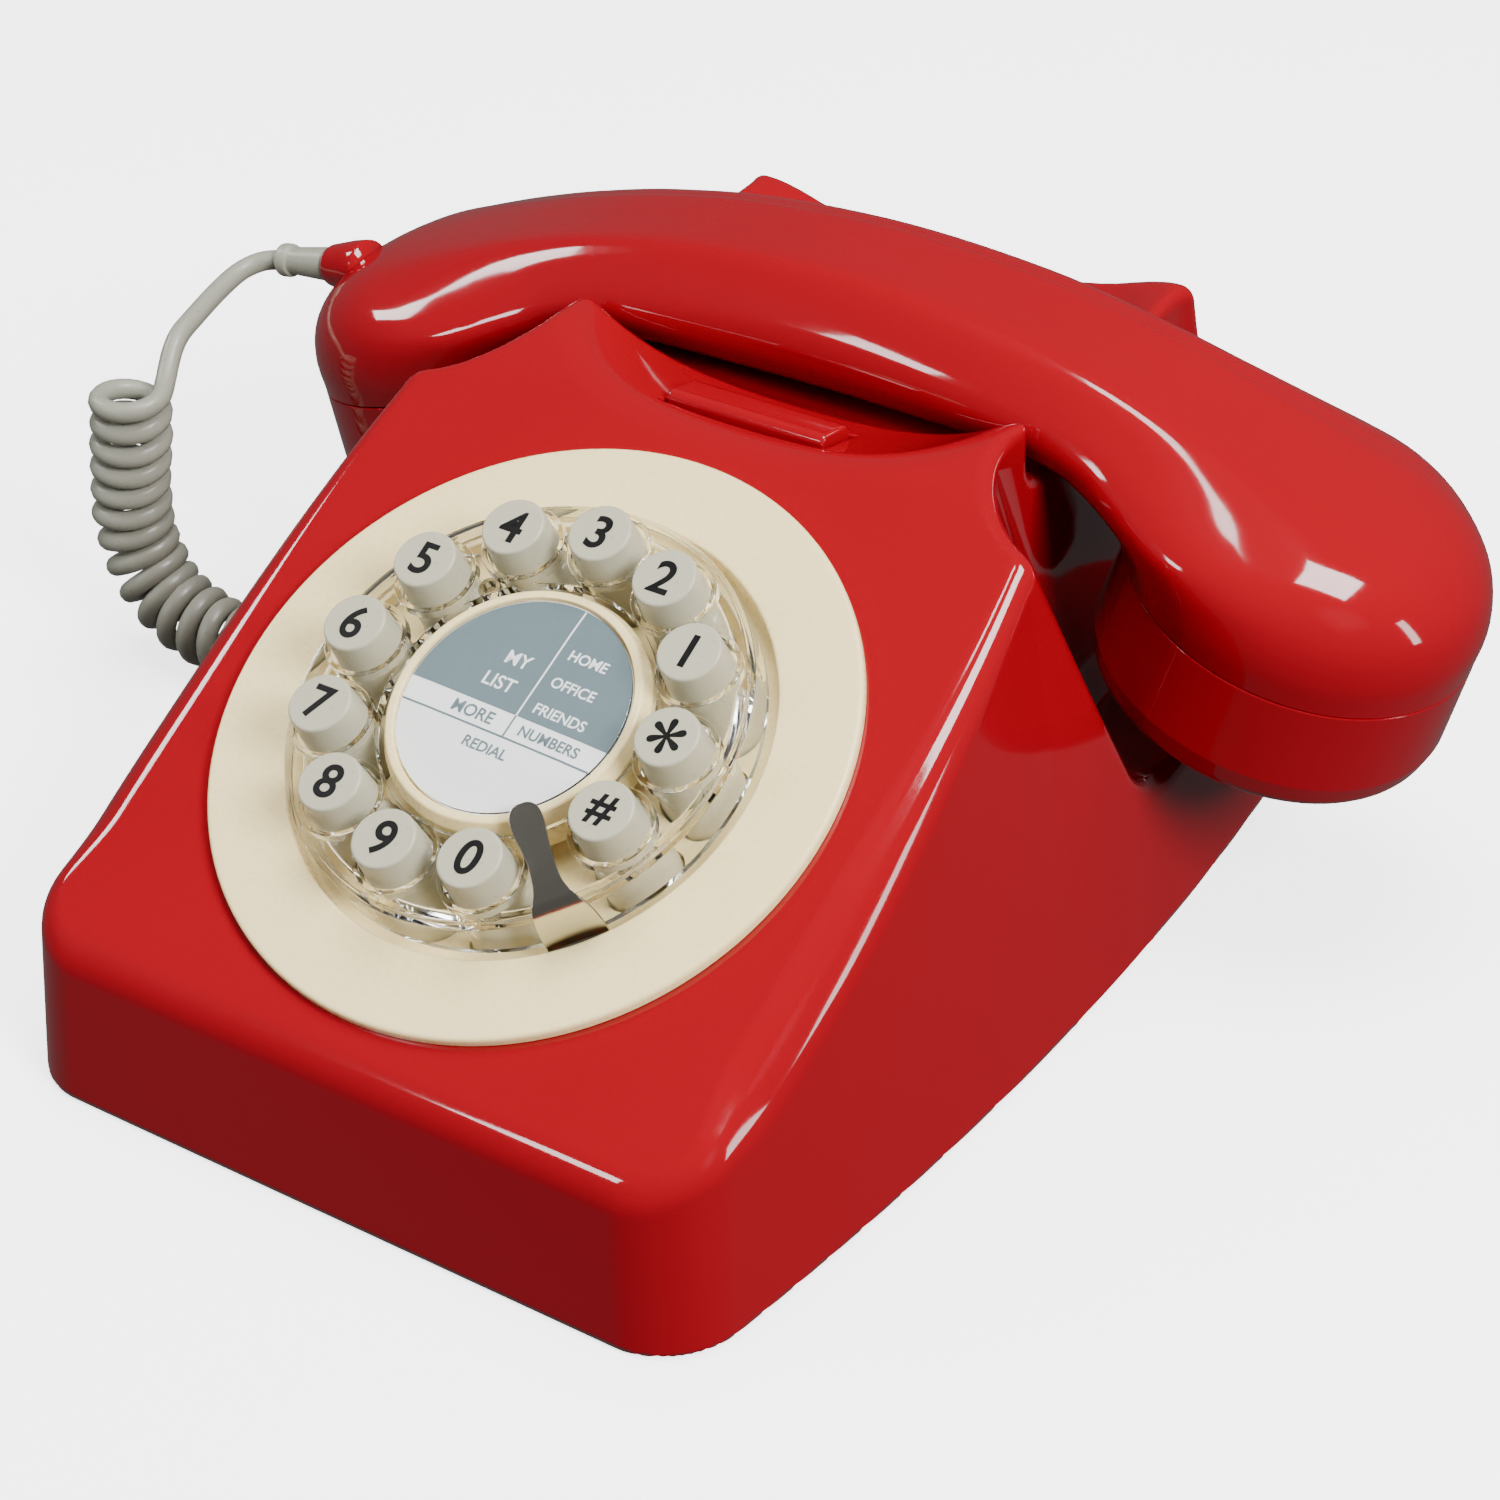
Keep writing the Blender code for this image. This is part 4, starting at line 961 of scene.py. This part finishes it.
# Each word with its place on the card, its size, its ink, and the end that it is set from.
WORDS = [
    ("MY", -1.6, 7.2, 3.4, card_white, "RIGHT"), ("LIST", -1.6, 2.6, 3.4, card_white, "RIGHT"),
    ("HOME", 3.4, 11.2, 2.6, card_white, "LEFT"), ("OFFICE", 3.4, 6.0, 2.6, card_white, "LEFT"),
    ("FRIENDS", 3.4, 0.9, 2.6, card_white, "LEFT"), ("MORE", -1.6, -3.5, 3.0, card_blue, "RIGHT"),
    ("NUMBERS", 3.4, -3.5, 2.6, card_blue, "LEFT"), ("REDIAL", 0, -8.2, 2.6, card_blue, "CENTER"),
]
for text, x, y, size, ink, align in WORDS:
    where = card_matrix @ Matrix.Translation(Vector((x, y, CARD_TOP + 0.06)) * MM)
    word = printed(f"word_{text.lower()}", text, size, ink, where, weight=0.04, align=align)
    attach(word, "redial")

WINDOW_PROFILE = [
    (0, HUB_TOP - 0.6, 0), (19.3, HUB_TOP - 0.6, 0.05), (19.3, HUB_TOP - 0.1, 0.2), (15.0, HUB_TOP + 0.4, 3),
    (0, HUB_TOP + 0.7, 0),
]
window = even_shading(turned("label_window_skin", WINDOW_PROFILE, 128, clear_acrylic))
window.matrix_world = dial_matrix
window.visible_shadow = window.visible_diffuse = False
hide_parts("label_window")
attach(window, "redial")

# ------------------------------------------------------------------ underside, rear and inside
# Black moulded base with rubber feet and plated screws, black sockets and slide knobs in the rear wall,
# and the plain working parts behind the shells.
black_plastic = moulded_plastic("black_plastic", "#161617", "#1C1C1D", 0.42, ripple_mm=5.0, ripple=0.03, grain=0.15)
soft_rubber = moulded_plastic("soft_rubber", "#222223", "#2A2A2A", 0.75, ripple_mm=2.0, ripple=0.05, grain=0.4)
silicone_rubber = moulded_plastic("silicone_rubber", "#9A9C9B", "#8F9190", 0.6, grain=0.1)
circuit_board = moulded_plastic("circuit_board", "#1F5A34", "#17502C", 0.35, ripple_mm=2.5, ripple=0.05, grain=0.1)
clear_plug = moulded_plastic("clear_polycarbonate", "#E9ECEA", "#E2E6E4", 0.12, **{"Transmission Weight": 0.75})
# Zinc-plated steel: a bright, slightly speckled grey with blurred reflections.
plated_steel = new_material("plated_steel")
place = add_node(plated_steel, "ShaderNodeTexCoord", {}).outputs["Object"]
speckle = add_node(plated_steel, "ShaderNodeTexNoise", {"Vector": place, "Scale": 900.0, "Detail": 4.0})
gloss = add_node(plated_steel, "ShaderNodeMapRange", {"Value": speckle.outputs["Fac"], "To Min": 0.22, "To Max": 0.45})
surface(plated_steel, {"Base Color": colour("#BFC0BC"), "Metallic": 1.0, "Roughness": gloss.outputs["Result"]})

# The pieces that keep their own shape, by what they are made of.
FINISHES = [
    (black_plastic, ["base_plate", "hook_switch", "handset_socket", "line_socket", "ringer_switch", "tone_switch"]),
    (black_plastic, ["ringer", "receiver_capsule", "microphone_capsule"]),
    (plated_steel, ["hook_spring", "hook_bracket", "handset_weight"]),
    (silicone_rubber, ["keypad_membrane"]),
    (circuit_board, ["keypad_board", "main_board"]),
    (clear_plug, ["cord_plug"]),
]
for material, nodes in FINISHES:
    for node in nodes:
        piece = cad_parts[node]
        piece.data.materials.clear()
        piece.data.materials.append(material)

FOOT_PROFILE = [(0, 0, 0), (6.8, 0, 0.6), (6.8, 2.0, 0.1), (0, 2.0, 0)]
for i, place in enumerate([(-44, -70), (44, -70), (-52, 66), (52, 66)]):
    foot = turned(f"foot_{i + 1}_skin", FOOT_PROFILE, 48, soft_rubber, centre=place)
    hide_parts(f"foot_{i + 1}")
    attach(foot, "base")

SCREW_PROFILE = [
    (0, 1.1, 0), (2.4, 1.1, 0.4), (3.2, 1.6, 0.2), (3.2, 2.0, 0.1), (1.4, 2.0, 0), (1.4, 14.0, 0), (0, 15.0, 0),
]
for i, (x, y) in enumerate([(-48, -81.5), (48, -81.5), (-55, 79.5), (55, 79.5)]):
    screw = turned(f"base_screw_{i + 1}_skin", SCREW_PROFILE, 32, plated_steel, centre=(x, y))
    # Two cuts at right angles make the cross in the head, which each screw has at its own angle.
    for turn in (0, math.radians(90)):
        blade = block((-1.5, 1.5), (-0.3, 0.3), (0.6, 1.75), plated_steel)
        blade.matrix_world = Matrix.Translation(Vector((x, y, 0)) * MM) @ Matrix.Rotation(turn + i, 4, "Z")
        boolean(screw, blade)
    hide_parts(f"base_screw_{i + 1}")
    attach(screw, "base")

# ------------------------------------------------------------------ floor and light
# A plain sweep of white card that glows a little, so it stays pale under the telephone. Three broad lamps
# light the surfaces, and five more are there only to be reflected: they are the pale squares and lines on
# the red gloss.
BEND_Y = 1.6
BEND_RADIUS = 1.0
bend = [
    (BEND_Y + BEND_RADIUS * math.sin(a), BEND_RADIUS * (1 - math.cos(a))) for a in np.linspace(0.1, math.pi / 2, 12)
]
sweep = [(-3.0, 0.0), (BEND_Y, 0.0), *bend, (BEND_Y + BEND_RADIUS, 4.0)]
floor_mesh = bpy.data.meshes.new("floor")
work = bmesh.new()
rows = [[work.verts.new((x, y, z - 0.0002)) for y, z in sweep] for x in (-4.0, 4.0)]
for i in range(len(sweep) - 1):
    work.faces.new([rows[0][i], rows[1][i], rows[1][i + 1], rows[0][i + 1]])
bmesh.ops.recalc_face_normals(work, faces=work.faces)
work.to_mesh(floor_mesh)
work.free()
floor_mesh.shade_smooth()
floor = bpy.data.objects.new("floor", floor_mesh)
bpy.context.scene.collection.objects.link(floor)
white_sweep = moulded_plastic(
    "white_sweep", "#F6F6F6", "#F4F4F4", 0.8, ripple_mm=200.0, ripple=0.0, grain=0.0,
    **{"Emission Color": (1.0, 1.0, 1.0, 1.0), "Emission Strength": 2.6, "Specular IOR Level": 0.0}
)
floor_mesh.materials.append(white_sweep)
floor.visible_glossy = floor.visible_diffuse = False

world = bpy.data.worlds.new("studio")
bpy.context.scene.world = world
world.use_nodes = True
set_inputs(world, world.node_tree.nodes["Background"], {"Color": (1.0, 1.0, 1.0, 1.0), "Strength": 0.13})


def soft_box(name, direction, width, height, watts, distance=1.4, reflected=False):
    """A lamp in a fabric box. It either lights the surfaces, or is there for its reflection in them."""
    light = bpy.data.lights.new(name, "AREA")
    light.shape = "RECTANGLE"
    light.size = width
    light.size_y = height
    light.energy = watts
    obj = bpy.data.objects.new(name, light)
    bpy.context.scene.collection.objects.link(obj)
    obj.location = Vector(direction).normalized() * distance
    obj.rotation_euler = (Vector((0, 0, 0.06)) - obj.location).to_track_quat("-Z", "Y").to_euler()
    obj.visible_glossy = obj.visible_transmission = reflected
    obj.visible_diffuse = not reflected


soft_box("overhead", (0.0, 0.1, 1.0), 0.9, 0.9, 28)
soft_box("key", (0.75, -0.25, 0.6), 0.5, 0.5, 36)
soft_box("fill", (-0.7, -0.5, 0.5), 0.8, 0.8, 11)
soft_box("right_box", (0.45, 0.12, 0.88), 0.5, 0.5, 20, reflected=True)
soft_box("tall_box", (0.0, 0.0, 1.0), 0.16, 0.16, 1.6, reflected=True)
soft_box("left_box", (-0.8, -0.03, 0.56), 0.22, 0.3, 4.0, reflected=True)
soft_box("front_left_box", (-0.41, -0.72, 0.6), 0.16, 0.2, 2, reflected=True)
soft_box("low_right_box", (0.93, 0.2, 0.25), 0.12, 0.5, 2.4, reflected=True)
